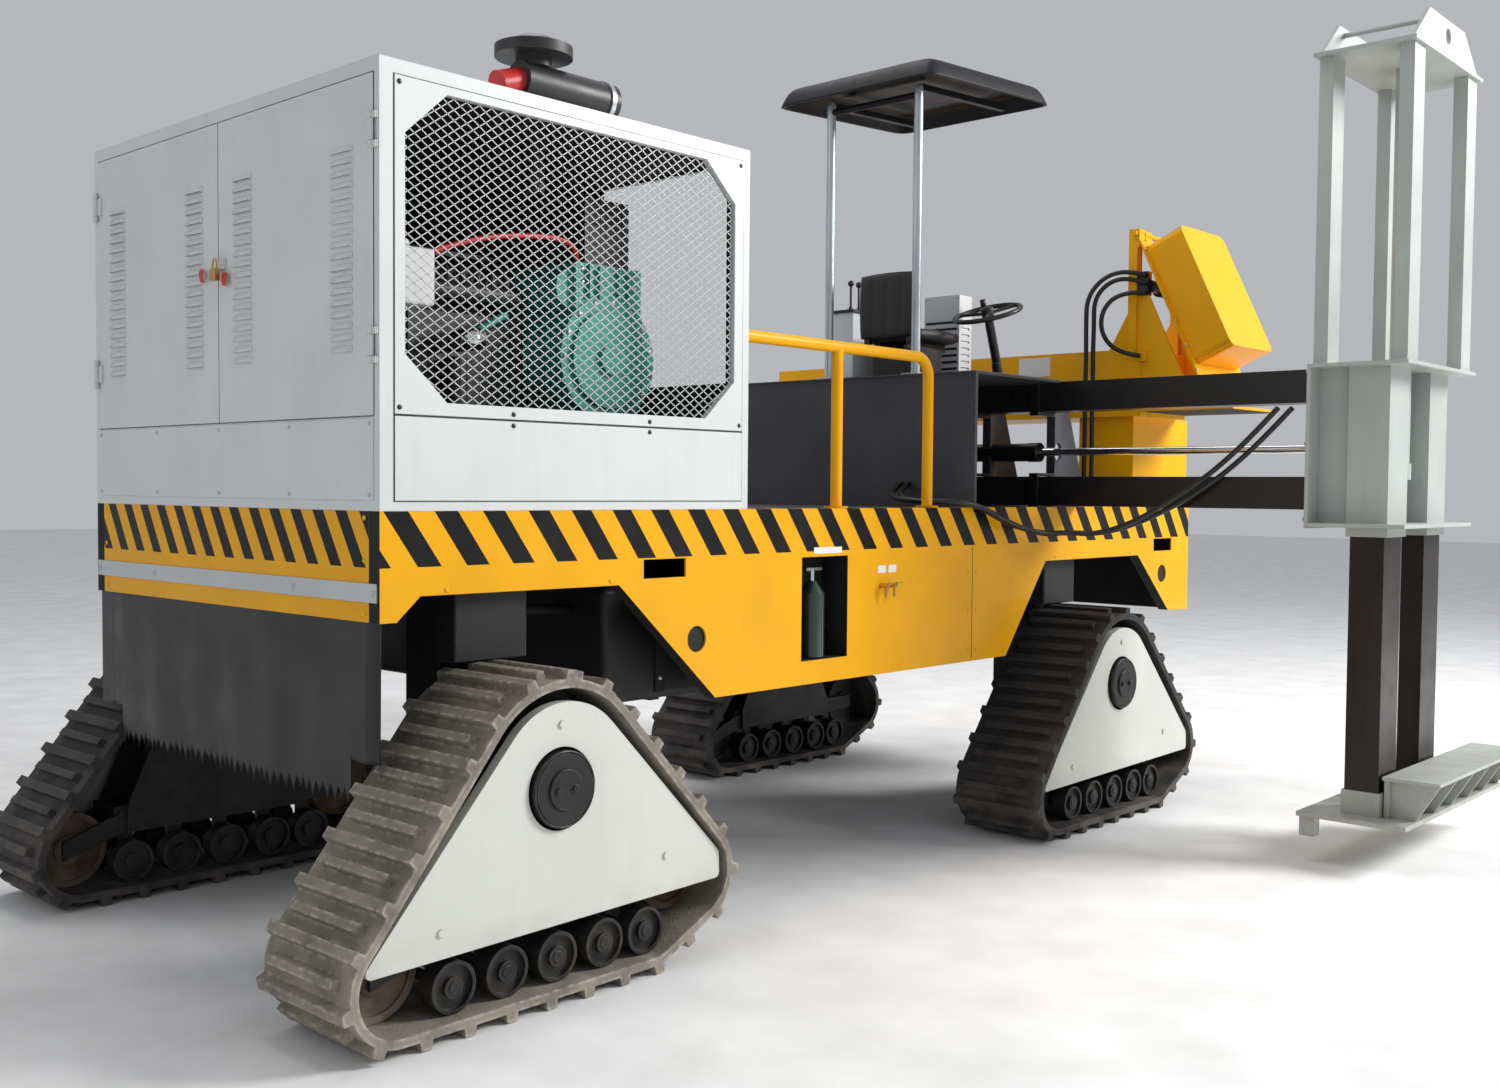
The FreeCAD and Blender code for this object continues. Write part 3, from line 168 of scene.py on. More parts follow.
def mix(tree, factor, first, second):
    """Mixes two colours, each a tuple or a socket."""
    node = tree.nodes.new("ShaderNodeMix")
    node.data_type = "RGBA"
    tree.links.new(factor, node.inputs["Factor"])
    for socket, value in ((node.inputs["A"], first), (node.inputs["B"], second)):
        for candidate in [s for s in node.inputs if s.name == socket.name and s.type == "RGBA"]:
            if isinstance(value, tuple):
                candidate.default_value = (*value, 1)
            else:
                tree.links.new(value, candidate)
    return [s for s in node.outputs if s.type == "RGBA"][0]


def axis_value(tree, axis):
    """The object coordinate along one axis, in frame metres."""
    coords = tree.nodes.new("ShaderNodeTexCoord")
    split = tree.nodes.new("ShaderNodeSeparateXYZ")
    tree.links.new(coords.outputs["Object"], split.inputs["Vector"])
    return split.outputs[axis]


def edge_mask(tree, radius):
    """About 1 on worn edges and 0 on flat faces."""
    bevel = tree.nodes.new("ShaderNodeBevel")
    bevel.samples = 3
    bevel.inputs["Radius"].default_value = radius
    geometry = tree.nodes.new("ShaderNodeNewGeometry")
    dot = tree.nodes.new("ShaderNodeVectorMath")
    dot.operation = "DOT_PRODUCT"
    tree.links.new(bevel.outputs["Normal"], dot.inputs[0])
    tree.links.new(geometry.outputs["Normal"], dot.inputs[1])
    return ramp(tree, dot.outputs["Value"], 0.98, 0.80)


def surface(name, colour, roughness, metallic=0.0, grain=0.12, grain_scale=220.0, mottle=0.10,
            wear=None, wear_radius=0.006, dust=None, dust_height=1.2, streaks=0.0, coat=0.0,
            base_socket=None, stretch=(1, 1, 1), relief=0.0004, specular=0.5):
    """A finished surface: colour drift, grain, edge wear, dust near the ground and streaks."""
    material = bpy.data.materials.new(name)
    material.use_nodes = True
    tree = material.node_tree
    shader = tree.nodes["Principled BSDF"]
    drift = ramp(tree, noise(tree, 2.3, 6.0), 0.3, 0.7)
    darker = tuple(c * (1 - mottle) for c in colour)
    lighter = tuple(min(1, c * (1 + mottle * 0.5)) for c in colour)
    colours = mix(tree, drift, darker, lighter)
    if base_socket:
        colours = mix(tree, ramp(tree, noise(tree, 3.0), 0.2, 0.8, 0.0, mottle), base_socket(tree),
                      (0.03, 0.03, 0.03))
    if streaks:
        lines = ramp(tree, noise(tree, 9.0, 5.0, (3.0, 3.0, 0.18)), 0.52, 0.75, 0.0, streaks)
        colours = mix(tree, lines, colours, tuple(c * 0.55 for c in colour))
    if dust:
        low = ramp(tree, axis_value(tree, 2), dust_height, 0.0)
        cloud = ramp(tree, noise(tree, 7.0, 8.0), 0.35, 0.65)
        amount = math_node(tree, "MULTIPLY", math_node(tree, "MULTIPLY", low, cloud), 0.85)
        colours = mix(tree, amount, colours, dust)
    if wear:
        mask = math_node(tree, "MULTIPLY", edge_mask(tree, wear_radius),
                         ramp(tree, noise(tree, 26.0, 6.0), 0.42, 0.62))
        colours = mix(tree, mask, colours, wear)
    tree.links.new(colours, shader.inputs["Base Color"])
    rough = ramp(tree, noise(tree, 5.0, 5.0, stretch), 0.25, 0.75, max(0.03, roughness - 0.08),
                 min(1, roughness + 0.10))
    tree.links.new(rough, shader.inputs["Roughness"])
    shader.inputs["Metallic"].default_value = metallic
    shader.inputs["Specular IOR Level"].default_value = specular
    if coat:
        shader.inputs["Coat Weight"].default_value = coat
        shader.inputs["Coat Roughness"].default_value = 0.15
    bump = tree.nodes.new("ShaderNodeBump")
    bump.inputs["Strength"].default_value = grain * 3
    bump.inputs["Distance"].default_value = relief
    tree.links.new(noise(tree, grain_scale, 3.0, stretch), bump.inputs["Height"])
    bevel = tree.nodes.new("ShaderNodeBevel")
    bevel.samples = 3
    bevel.inputs["Radius"].default_value = 0.003
    tree.links.new(bevel.outputs["Normal"], bump.inputs["Normal"])
    tree.links.new(bump.outputs["Normal"], shader.inputs["Normal"])
    return material


YELLOW = (0.93, 0.44, 0.004)
HAZARD_BLACK = (0.005, 0.005, 0.005)
HAZARD_BOTTOM = 1.693
DUST = (0.30, 0.25, 0.19)


def hazard(along, pitch, lean):
    """Base colour with slanting black bars in the band under the deck edge."""
    def build(tree):
        run = axis_value(tree, along)
        height = axis_value(tree, 2)
        phase = math_node(tree, "ADD", run, math_node(tree, "MULTIPLY", height, lean))
        cycle = math_node(tree, "FRACT", math_node(tree, "DIVIDE", phase, pitch))
        bar = math_node(tree, "GREATER_THAN", cycle, 0.52)
        above = math_node(tree, "GREATER_THAN", height, GROUND + HAZARD_BOTTOM)
        factor = math_node(tree, "MULTIPLY", bar, above)
        return mix(tree, factor, YELLOW, HAZARD_BLACK)
    return build


def make_materials():
    """Every material of the machine, by a plain name."""
    steel = (0.16, 0.15, 0.14)
    worn_yellow = (0.45, 0.24, 0.03)
    return {
        "yellow": surface("yellow_paint", YELLOW, 0.33, wear=worn_yellow, dust=DUST,
            dust_height=0.9, coat=0.05, mottle=0.06, streaks=0.05, specular=0.18),
        "yellow_side": surface("yellow_side", YELLOW, 0.33, wear=worn_yellow, coat=0.05,
            specular=0.18, mottle=0.16, base_socket=hazard(0, 0.228, 0.72)),
        "yellow_end": surface("yellow_end", YELLOW, 0.36, wear=worn_yellow, coat=0.05,
            specular=0.18, mottle=0.2, base_socket=hazard(1, 0.165, -0.62)),
        "grey": surface("housing_grey", (0.66, 0.68, 0.67), 0.40, wear=(0.40, 0.40, 0.38),
            mottle=0.05, streaks=0.08, coat=0.1),
        "mast": surface("mast_grey", (0.43, 0.46, 0.435), 0.42, wear=(0.33, 0.30, 0.26),
            mottle=0.10, streaks=0.16, dust=DUST, dust_height=0.8),
        "guard": surface("guard_white", (0.64, 0.655, 0.60), 0.45, wear=(0.35, 0.33, 0.30),
            mottle=0.05, streaks=0.05, dust=DUST, dust_height=0.42),
        "charcoal": surface("charcoal_paint", (0.052, 0.052, 0.062), 0.46, wear=(0.2, 0.2, 0.2),
            mottle=0.25, streaks=0.2),
        "black": surface("black_paint", (0.010, 0.0095, 0.010), 0.34, wear=steel, mottle=0.3),
        "frame": surface("frame_steel", (0.012, 0.0115, 0.012), 0.5, wear=steel, mottle=0.4,
            dust=(0.045, 0.040, 0.034), dust_height=1.2, specular=0.35),
        "rust": surface("rusty_wheel", (0.10, 0.055, 0.035), 0.75, metallic=0.3, mottle=0.5,
            grain=0.4, grain_scale=90, wear=(0.30, 0.22, 0.18), dust=DUST),
        # Lighter tan rubber for the near rear belt: dust, plus painted sunlight on its lit side.
        "dust_and_painted_sunlight_rubber": surface("dust_and_painted_sunlight_rubber", (0.20, 0.18, 0.145), 0.82, grain=0.5,
            grain_scale=70, mottle=0.35, wear=(0.58, 0.53, 0.46), wear_radius=0.026,
            dust=(0.32, 0.285, 0.23), dust_height=2.2, relief=0.002),
        "dark_rubber": surface("dark_rubber", (0.028, 0.025, 0.023), 0.72, grain=0.4,
            grain_scale=70, mottle=0.35, wear=(0.11, 0.10, 0.09), wear_radius=0.010,
            dust=(0.13, 0.115, 0.10), dust_height=0.9, relief=0.002),
        "skirt": surface("skirt_rubber", (0.015, 0.0145, 0.015), 0.42, grain=0.2, mottle=0.4,
            streaks=0.6, grain_scale=40),
        "hose": surface("hose_rubber", (0.012, 0.012, 0.012), 0.38, grain=0.3, grain_scale=400),
        "galvanised": surface("galvanised", (0.55, 0.59, 0.62), 0.36, metallic=0.85, grain=0.15,
            mottle=0.22, grain_scale=30),
        "chrome": surface("chrome_rod", (0.78, 0.78, 0.80), 0.12, metallic=1.0, grain=0.02,
            stretch=(1, 1, 30)),
        "column": surface("column_steel", (0.020, 0.014, 0.012), 0.36, metallic=0.35, mottle=0.5,
            streaks=0.7, wear=(0.22, 0.13, 0.09), grain=0.25, grain_scale=60),
        "engine": surface("engine_black", (0.022, 0.022, 0.024), 0.45, mottle=0.3, grain=0.4,
            grain_scale=120, wear=steel),
        "teal": surface("pump_teal", (0.03, 0.36, 0.27), 0.38, mottle=0.18, grain=0.3,
            grain_scale=90, coat=0.2),
        "red": surface("red_silicone", (0.62, 0.03, 0.03), 0.4, mottle=0.15),
        "canopy": surface("canopy_plastic", (0.008, 0.0082, 0.011), 0.42, grain=0.4,
            grain_scale=260, mottle=0.14, specular=0.22),
        "vinyl": surface("seat_vinyl", (0.018, 0.018, 0.019), 0.48, grain=0.6, grain_scale=180,
            mottle=0.2, relief=0.001),
        "plastic": surface("moulded_plastic", (0.02, 0.02, 0.02), 0.42, grain=0.3),
        "cabinet": surface("cabinet_paint", (0.70, 0.72, 0.73), 0.4, mottle=0.06, streaks=0.05,
            wear=(0.4, 0.4, 0.4)),
        "label": surface("blank_label", (0.80, 0.80, 0.78), 0.5, mottle=0.08),
        "brass": surface("brass", (0.62, 0.42, 0.14), 0.3, metallic=1.0, mottle=0.2),
        "bottle": surface("bottle_black", (0.012, 0.03, 0.018), 0.25, mottle=0.2, coat=0.5),
        "screw": surface("zinc_screw", (0.50, 0.51, 0.52), 0.35, metallic=0.8, mottle=0.2),
        "strip": surface("pale_strip", (0.52, 0.54, 0.54), 0.35, mottle=0.08, streaks=0.1),
        # Near-black for black parts, and for painted shade: housing, door, end panel and fascia
        # insides, the front plate's underside and the plates behind holes.
        "dark": surface("black_and_painted_shade", (0.006, 0.006, 0.006), 0.8),
        "deck": surface("deck_plate", (0.06, 0.06, 0.065), 0.5, metallic=0.3, grain=0.7,
            grain_scale=34, mottle=0.3, relief=0.002, wear=steel),
    }


# ---- mesh helpers ----------------------------------------------------------------------
def from_bmesh(name, bm, material, body, smooth=False):
    """Makes a piece of a finished mesh and lets it ride on a body, if one is named."""
    bmesh.ops.recalc_face_normals(bm, faces=bm.faces)
    mesh = bpy.data.meshes.new(name)
    bm.to_mesh(mesh)
    bm.free()
    obj = bpy.data.objects.new(name, mesh)
    bpy.context.collection.objects.link(obj)
    obj.data.materials.append(material)
    if smooth:
        mesh.shade_smooth()
    if body:
        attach(obj, body)
    return obj


def rounded(obj, width, segments=1, angle=30):
    """Rounds a piece's edges that are sharper than an angle."""
    edge = obj.modifiers.new("rounded", "BEVEL")
    edge.width = width
    edge.segments = segments
    edge.limit_method = "ANGLE"
    edge.angle_limit = math.radians(angle)


def join_rings(bm, first, second):
    """Faces between two closed rings of corners."""
    for i in range(len(first)):
        j = (i + 1) % len(first)
        bm.faces.new((first[i], first[j], second[j], second[i]))


def join_grid(bm, grid):
    """Faces between the rows of an open grid of corners."""
    for a, b in zip(grid, grid[1:]):
        for k in range(len(a) - 1):
            bm.faces.new((a[k], b[k], b[k + 1], a[k + 1]))


def rim_of(grid):
    """The corners round the edge of a square grid."""
    last = len(grid) - 1
    steps = range(last)
    return ([grid[i][0] for i in steps] + [grid[last][k] for k in steps]
            + [grid[last - i][last] for i in steps] + [grid[0][last - k] for k in steps])


def add_box(bm, x_span, y_span, z_span):
    """A box between two values along each chassis axis."""
    v = [bm.verts.new(at(x, y, z)) for x in x_span for y in sorted(y_span) for z in z_span]
    for a, b, c, d in ((0, 1, 3, 2), (4, 6, 7, 5), (0, 4, 5, 1), (2, 3, 7, 6), (0, 2, 6, 4),
                       (1, 5, 7, 3)):
        bm.faces.new((v[a], v[b], v[c], v[d]))


def boxes(name, spans, material, body="chassis"):
    """A piece made of plain boxes."""
    bm = bmesh.new()
    for x_span, y_span, z_span in spans:
        add_box(bm, x_span, y_span, z_span)
    return from_bmesh(name, bm, material, body)


def add_strip(bm, start, end, width, depth, across):
    """A straight bar of rectangular section; across is the direction of its depth."""
    along = (end - start).normalized()
    side = along.cross(across).normalized() * width / 2
    out = across.normalized() * depth / 2
    ring = [side + out, -side + out, -side - out, side - out]
    first = [bm.verts.new(start + r) for r in ring]
    last = [bm.verts.new(end + r) for r in ring]
    join_rings(bm, first, last)
    bm.faces.new(first[::-1])
    bm.faces.new(last)


def add_dome(bm, centre, normal, radius, height, sides=12):
    """A low domed fastener head standing on a face."""
    turn = normal.to_track_quat("Z", "Y").to_matrix()
    rings = []
    for share, lift in ((1.0, 0.0), (1.0, 0.45), (0.72, 0.85), (0.3, 1.0)):
        ring = []
        for i in range(sides):
            angle = 2 * math.pi * i / sides
            point = Vector((math.cos(angle) * radius * share, math.sin(angle) * radius * share,
                            height * lift))
            ring.append(bm.verts.new(centre + turn @ point))
        rings.append(ring)
    for lower, upper in zip(rings, rings[1:]):
        join_rings(bm, lower, upper)
    bm.faces.new(rings[-1])


def on_circle(centre, radius, angle):
    """A point on a circle whose axis runs along Y."""
    return centre + Vector((math.cos(angle), 0, math.sin(angle))) * radius


def fasteners(name, points, normal, radius, material, body="chassis"):
    """Domed heads, half as high as their radius, at some points of a face."""
    bm = bmesh.new()
    for point in points:
        add_dome(bm, point, Vector(normal), radius, radius * 0.5)
    return from_bmesh(name, bm, material, body, True)


def spline_points(points):
    """The smooth line through a hose's route, as closely spaced points."""
    curve = bpy.data.curves.new("route", "CURVE")
    curve.dimensions = "3D"
    spline = curve.splines.new("NURBS")
    spline.points.add(len(points) - 1)
    for target, point in zip(spline.points, points):
        target.co = (*point, 1)
    spline.order_u = 3
    spline.use_endpoint_u = True
    spline.resolution_u = 16
    holder = bpy.data.objects.new("route", curve)
    bpy.context.collection.objects.link(holder)
    bpy.context.view_layer.update()
    mesh = bpy.data.meshes.new_from_object(holder)
    line = [v.co.copy() for v in mesh.vertices]
    bpy.data.objects.remove(holder)
    return line


def add_tube(bm, line, radius, sides=14):
    """A round tube that follows a line, with closed ends."""
    rings = []
    reference = Vector((0.13, 0.37, 0.92))
    for i, point in enumerate(line):
        ahead = line[min(i + 1, len(line) - 1)] - line[max(i - 1, 0)]
        ahead.normalize()
        side = ahead.cross(reference).normalized()
        up = side.cross(ahead)
        reference = up
        ring = []
        for k in range(sides):
            angle = 2 * math.pi * k / sides
            offset = side * math.cos(angle) + up * math.sin(angle)
            ring.append(bm.verts.new(point + offset * radius))
        rings.append(ring)
    for lower, upper in zip(rings, rings[1:]):
        join_rings(bm, lower, upper)
    bm.faces.new(rings[0][::-1])
    bm.faces.new(rings[-1])


def tubes(name, runs, material, body="chassis"):
    """A smooth piece made of round bars or pipes, each a line, a radius and a number of sides."""
    bm = bmesh.new()
    for line, radius, sides in runs:
        add_tube(bm, line, radius, sides)
    return from_bmesh(name, bm, material, body, True)


def paint(node, material):
    """Gives a CAD node one material."""
    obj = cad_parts[node]
    obj.data.materials.clear()
    obj.data.materials.append(material)
    return obj


def paint_where(node, material, test):
    """Gives some faces of a CAD node another material, chosen by where they are."""
    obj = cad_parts[node]
    obj.data.materials.append(material)
    index = len(obj.data.materials) - 1
    for polygon in obj.data.polygons:
        if test(polygon.center - ORIGIN, polygon.normal):
            polygon.material_index = index


# ---- painting the CAD nodes ------------------------------------------------------------
def paint_frame_nodes(m):
    """Finishes for everything that keeps its CAD shape."""
    plain = {"chassis_frame": "frame", "fascia_right": "yellow_side", "fascia_left": "yellow_side",
             "end_panels": "yellow_end", "deck": "deck", "housing_shell": "grey",
             "door_right": "grey", "door_left": "grey", "engine": "engine",
             "pump_generator": "teal", "radiator": "black", "cooling_fan": "black",
             "air_intake": "engine", "handrail": "yellow", "platform_base": "charcoal",
             "canopy_poles": "galvanised", "seat_base": "black", "steering_column": "black",
             "steering_wheel": "plastic", "control_cabinet": "cabinet", "lever_console": "cabinet",
             "control_levers": "plastic", "front_structure": "yellow", "tilt_hood": "yellow",
             "arm_guides": "charcoal", "shift_barrel": "black", "side_beams": "black",
             "mast_sleeve": "mast", "mast_tower": "mast", "lift_barrel": "mast",
             "lift_columns": "column", "lift_rod": "chrome", "foot_shoe": "mast",
             "service_fittings": "brass"}
    for node, name in plain.items():
        paint(node, m[name])
    for end, side in UNITS:
        near_rear = (end, side) == ("rear", "right")
        # The near rear belt gets the lighter rubber, for dust and painted sunlight; the other belts
        # stay dark.
        paint(f"belt_{end}_{side}", m["dust_and_painted_sunlight_rubber"] if near_rear else m["dark_rubber"])
        paint(f"carrier_{end}_{side}", m["frame"])
        paint_where(f"carrier_{end}_{side}", m["guard"], is_guard)
        paint(f"drive_sprocket_{end}_{side}", m["frame"])
        for wheel in ("rear_idler", "front_idler"):
            paint(f"{wheel}_{end}_{side}", m["rust"] if end == "rear" else m["frame"])
    paint_where("service_fittings", m["bottle"], lambda c, n: c.y > -1.185)
    paint_where("service_fittings", m["chrome"], lambda c, n: c.y > -1.185 and c.z > 1.538)
    paint_where("side_beams", m["chrome"], lambda c, n: 2.2 < c.z < 2.3 and c.x > 5.06)
    paint_where("front_structure", m["black"],
                lambda c, n: math.hypot(c.y + 1.298, c.z - 3.345) < 0.065)
    paint_where("air_intake", m["red"], lambda c, n: c.x < 0.998 and c.z < 3.86)
    paint_where("air_intake", m["screw"], lambda c, n: 1.465 < c.x < 1.50
                and math.hypot(c.y + 0.75, c.z - 3.775) > 0.089)
    paint_where("pump_generator", m["engine"], lambda c, n: c.z > 3.021)
    paint_where("canopy_poles", m["canopy"], lambda c, n: c.z > 4.28
                and math.hypot(c.x - 3.975, min(abs(c.y + 0.73), abs(c.y + 0.07))) > 0.030)
    # Painted shade: the housing's inside faces, the doors' inner faces, the end panels' inner faces
    # and the front plate's underside are painted near-black for the shade in and under them.
    paint_where("housing_shell", m["dark"],
                lambda c, n: 0.029 < c.x < 1.981 and abs(c.y) < 1.171 and c.z < 3.551)
    for door in ("door_right", "door_left"):
        paint_where(door, m["dark"], lambda c, n: c.x > 0.0015)
    paint_where("end_panels", m["dark"], lambda c, n: 0.001 < c.x < 6.587 and n.z < 0.5)
    paint_where("front_structure", m["dark"], lambda c, n: abs(c.z - 2.528) < 0.002 and n.z < -0.9)
    # Painted shade: the fascias' inner faces and the back of the right fascia's window are painted
    # near-black for the shade behind them.
    for fascia in ("fascia_right", "fascia_left"):
        paint_where(fascia, m["dark"], lambda c, n: abs(c.y) < 1.1905 and n.z < 0.5)
    paint_where("fascia_right", m["dark"],
                lambda c, n: 2.395 < c.x < 2.785 and -1.187 < c.y and c.z < 1.68)
    paint_where("platform_base", m["black"], lambda c, n: n.z > 0.9 and c.z > 2.6)
    paint_where("arm_guides", m["black"], lambda c, n: c.x < 5.04)
    paint_where("lever_console", m["black"], lambda c, n: c.z > DECK_TOP + 1.19)


def is_guard(centre, _normal):
    """Faces of the guard plate, and not of the rollers or axle ends behind it."""
    return centre.z > 0.295 and abs(centre.y) > 1.5105


def round_edges():
    """Small rounded edges on the sheet metal that catches the light."""
    for node in ("fascia_right", "tilt_hood", "foot_shoe", "mast_tower", "mast_sleeve",
                 "front_structure"):
        rounded(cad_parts[node], 0.003, 2, 50)


# ---- engine housing details ------------------------------------------------------------
LOUVRE_Y = (0.207, 0.953)
LOUVRE_WIDTH = 0.146
LOUVRE_COUNT = 18
LOUVRE_PITCH = 0.044
LOUVRE_FIRST_Z = 2.51
WINDOW_X = (0.110, 1.907)
WINDOW_Z = (2.320, 3.490)
WINDOW_CHAMFER = (0.190, 0.175)
STRAND_WIDTH = 0.0037
STRAND_DEPTH = 0.0032
PANEL_X = (0.065, 1.963)
UPPER_PANEL_Z = (2.270, 3.522)
LOWER_PANEL_Z = (1.945, 2.262)
PANEL_THICKNESS = 0.004
PUMP_X = 1.48
PUMP_Z = 2.59
PUMP_FACE = -0.81


def window_outline():
    """The eight corners of the side window, in X and Z."""
    (x0, x1), (z0, z1), (cx, cz) = WINDOW_X, WINDOW_Z, WINDOW_CHAMFER
    return [(x0 + cx, z0), (x1 - cx, z0), (x1, z0 + cz), (x1, z1 - cz), (x1 - cx, z1),
            (x0 + cx, z1), (x0, z1 - cz), (x0, z0 + cz)]


def make_louvres(m):
    """Pressed hoods over the louvre slots: a bulged lip with closed ends."""
    steps = 6
    for side, label in SIDES:
        bm = bmesh.new()
        for centre in LOUVRE_Y:
            low = side * centre - LOUVRE_WIDTH / 2
            high = side * centre + LOUVRE_WIDTH / 2
            for i in range(LOUVRE_COUNT):
                z = LOUVRE_FIRST_Z + i * LOUVRE_PITCH
                rows = []
                for k in range(steps + 1):
                    share = k / steps
                    bulge = 0.013 * math.cos(share * math.pi / 2) ** 0.8
                    height = z - 0.004 + 0.026 * share
                    inset = 0.006 + 0.010 * (1 - math.cos(share * math.pi / 2))
                    points = [(low, 0.0), (low + inset, bulge), (high - inset, bulge), (high, 0.0)]
                    rows.append([bm.verts.new(at(-0.0025 - out, y, height)) for y, out in points])
                join_grid(bm, rows)
        body = f"door_{label}"
        from_bmesh(f"louvres_{body}", bm, m["grey"], body, True)


def clip_to_window(point, direction):
    """Where a line crosses the window's octagon, as two distances, or None."""
    outline = window_outline()
    near, far = -10.0, 10.0
    for i in range(8):
        ax, az = outline[i]
        bx, bz = outline[(i + 1) % 8]
        nx, nz = -(bz - az), bx - ax
        speed = nx * direction[0] + nz * direction[1]
        gap = nx * (ax - point[0]) + nz * (az - point[1])
        if abs(speed) < 1e-9:
            if gap > 0:
                return None
            continue
        reach = gap / speed
        if speed > 0:
            near = max(near, reach)
        else:
            far = min(far, reach)
    return (near, far) if far - near > 0.02 else None


def make_mesh_guards(m):
    """Expanded mesh in both side windows: crossing strands with a long diamond."""
    wide, tall = 0.060, 0.040
    size = math.hypot(wide, tall)
    (x0, x1), (z0, z1) = WINDOW_X, WINDOW_Z
    slant = (z1 - z0) * wide / tall
    count = int((x1 - x0 + slant) / wide) + 1
    for side, label in SIDES:
        bm = bmesh.new()
        y = side * (HALF_WIDTH - 0.0135)
        for lean in (1, -1):
            direction = (wide / size, lean * tall / size)
            start_x = x0 if lean == -1 else x0 - slant
            for i in range(count):
                base = (start_x + i * wide, z0)
                cut = clip_to_window(base, direction)
                if not cut:
                    continue
                ends = [at(base[0] + direction[0] * t, y, z0 + direction[1] * t) for t in cut]
                add_strip(bm, *ends, STRAND_WIDTH, STRAND_DEPTH, Vector((0, 1, 0)))
        guard = from_bmesh(f"expanded_mesh_{label}", bm, m["grey"], "chassis")
        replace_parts(guard, "mesh_guards")


def gap_lines(side, x0, x1, z0, z1):
    """Four thin boxes round a panel, where the gap to its neighbour shows."""
    gap = 0.004
    y_span = (side * HALF_WIDTH, side * (HALF_WIDTH + 0.0015))
    return [(x_span, y_span, z_span) for x_span, z_span in (
        ((x0 - gap, x0), (z0 - gap, z1 + gap)), ((x1, x1 + gap), (z0 - gap, z1 + gap)),
        ((x0, x1), (z0 - gap, z0)), ((x0, x1), (z1, z1 + gap)))]


def make_side_panels(m):
    """Sheet panels on the housing sides: a ring round the window and a plain lower panel."""
    (x0, x1), (z0, z1) = PANEL_X, UPPER_PANEL_Z
    outer = [(x0 + 0.2, z0), (x1 - 0.2, z0), (x1, z0), (x1, z1), (x1 - 0.2, z1), (x0 + 0.2, z1),
             (x0, z1), (x0, z0)]
    for side, label in SIDES:
        face = side * (HALF_WIDTH + PANEL_THICKNESS)
        bm = bmesh.new()
        back_outer, back_inner, front_outer, front_inner = [
            [bm.verts.new(at(x, y, z)) for x, z in ring]
            for y in (side * HALF_WIDTH, face) for ring in (outer, window_outline())]
        join_rings(bm, front_outer, front_inner)
        join_rings(bm, back_outer, front_outer)
        join_rings(bm, back_inner, front_inner)
        add_box(bm, PANEL_X, (side * HALF_WIDTH, face), LOWER_PANEL_Z)
        from_bmesh(f"side_panels_{label}", bm, m["grey"], "chassis")
        screws = [at(x, face, z) for x in (0.085, 1.943) for z in (2.295, 3.498)]
        screws += [at(x, face, z) for x in (0.62, 1.37) for z in (2.290, 2.245)]
        fasteners(f"side_screws_{label}", screws, (0, side, 0), 0.010, m["black"])
        gaps = gap_lines(side, *PANEL_X, *UPPER_PANEL_Z) + gap_lines(side, *PANEL_X, *LOWER_PANEL_Z)
        boxes(f"panel_gaps_{label}", gaps, m["black"])


def make_rear_details(m):
    """Lower rear panel, its screws, the pale strip on the yellow panel and the door latch."""
    boxes("rear_lower_panel", [((-0.004, 0), (-1.165, 1.165), (1.945, 2.252))], m["grey"])
    points = [at(-0.004, y, z) for y in (-1.14, -0.57, 0, 0.57, 1.14) for z in (1.965, 2.232)]
    fasteners("rear_screws", points, (-1, 0, 0), 0.009, m["screw"])
    boxes("rear_pale_strip", [((-0.005, 0), (-1.185, 1.185), (1.563, 1.635))], m["strip"])
    points = [at(-0.005, y, 1.599) for y in (-1.165, -0.6, 0.6, 1.165)]
    fasteners("strip_rivets", points, (-1, 0, 0), 0.011, m["screw"])
    points = [at(-0.0005, y, z) for y in (-1.1, 1.1) for z in (1.52, 1.72, 1.88)]
    fasteners("rear_panel_rivets", points, (-1, 0, 0), 0.010, m["yellow"])
    make_latch(m)


def make_latch(m):
    """A padlock through the hasp, with two small red tags."""
    bm = bmesh.new()
    add_box(bm, (-0.048, -0.024), (-0.055, -0.008), (2.855, 2.905))
    shackle = [at(-0.036, -0.048, 2.90), at(-0.036, -0.048, 2.938), at(-0.036, -0.031, 2.950),
               at(-0.036, -0.015, 2.938), at(-0.036, -0.015, 2.90)]
    add_tube(bm, spline_points(shackle), 0.004, 8)
    lock = from_bmesh("padlock", bm, m["brass"], "door_right")
    rounded(lock, 0.003, 2)
    for index, (body, y, z, turn) in enumerate((("door_right", -0.085, 2.885, 0.3),
                                                ("door_left", 0.115, 2.915, -0.2))):
        bm = bmesh.new()
        for row in range(5):
            share = row / 4
            bend = 0.006 * math.sin(share * math.pi)
            left = at(-0.018 - bend, y - 0.020 + turn * 0.02 * share, z - 0.055 * share)
            bm.verts.new(left)
            bm.verts.new(left + Vector((0, 0.036, 0.006)))
        bm.verts.ensure_lookup_table()
        for row in range(4):
            a = row * 2
            bm.faces.new((bm.verts[a], bm.verts[a + 1], bm.verts[a + 3], bm.verts[a + 2]))
        tag = from_bmesh(f"red_tag_{index}", bm, m["red"], body)
        thick = tag.modifiers.new("card", "SOLIDIFY")
        thick.thickness = 0.0015


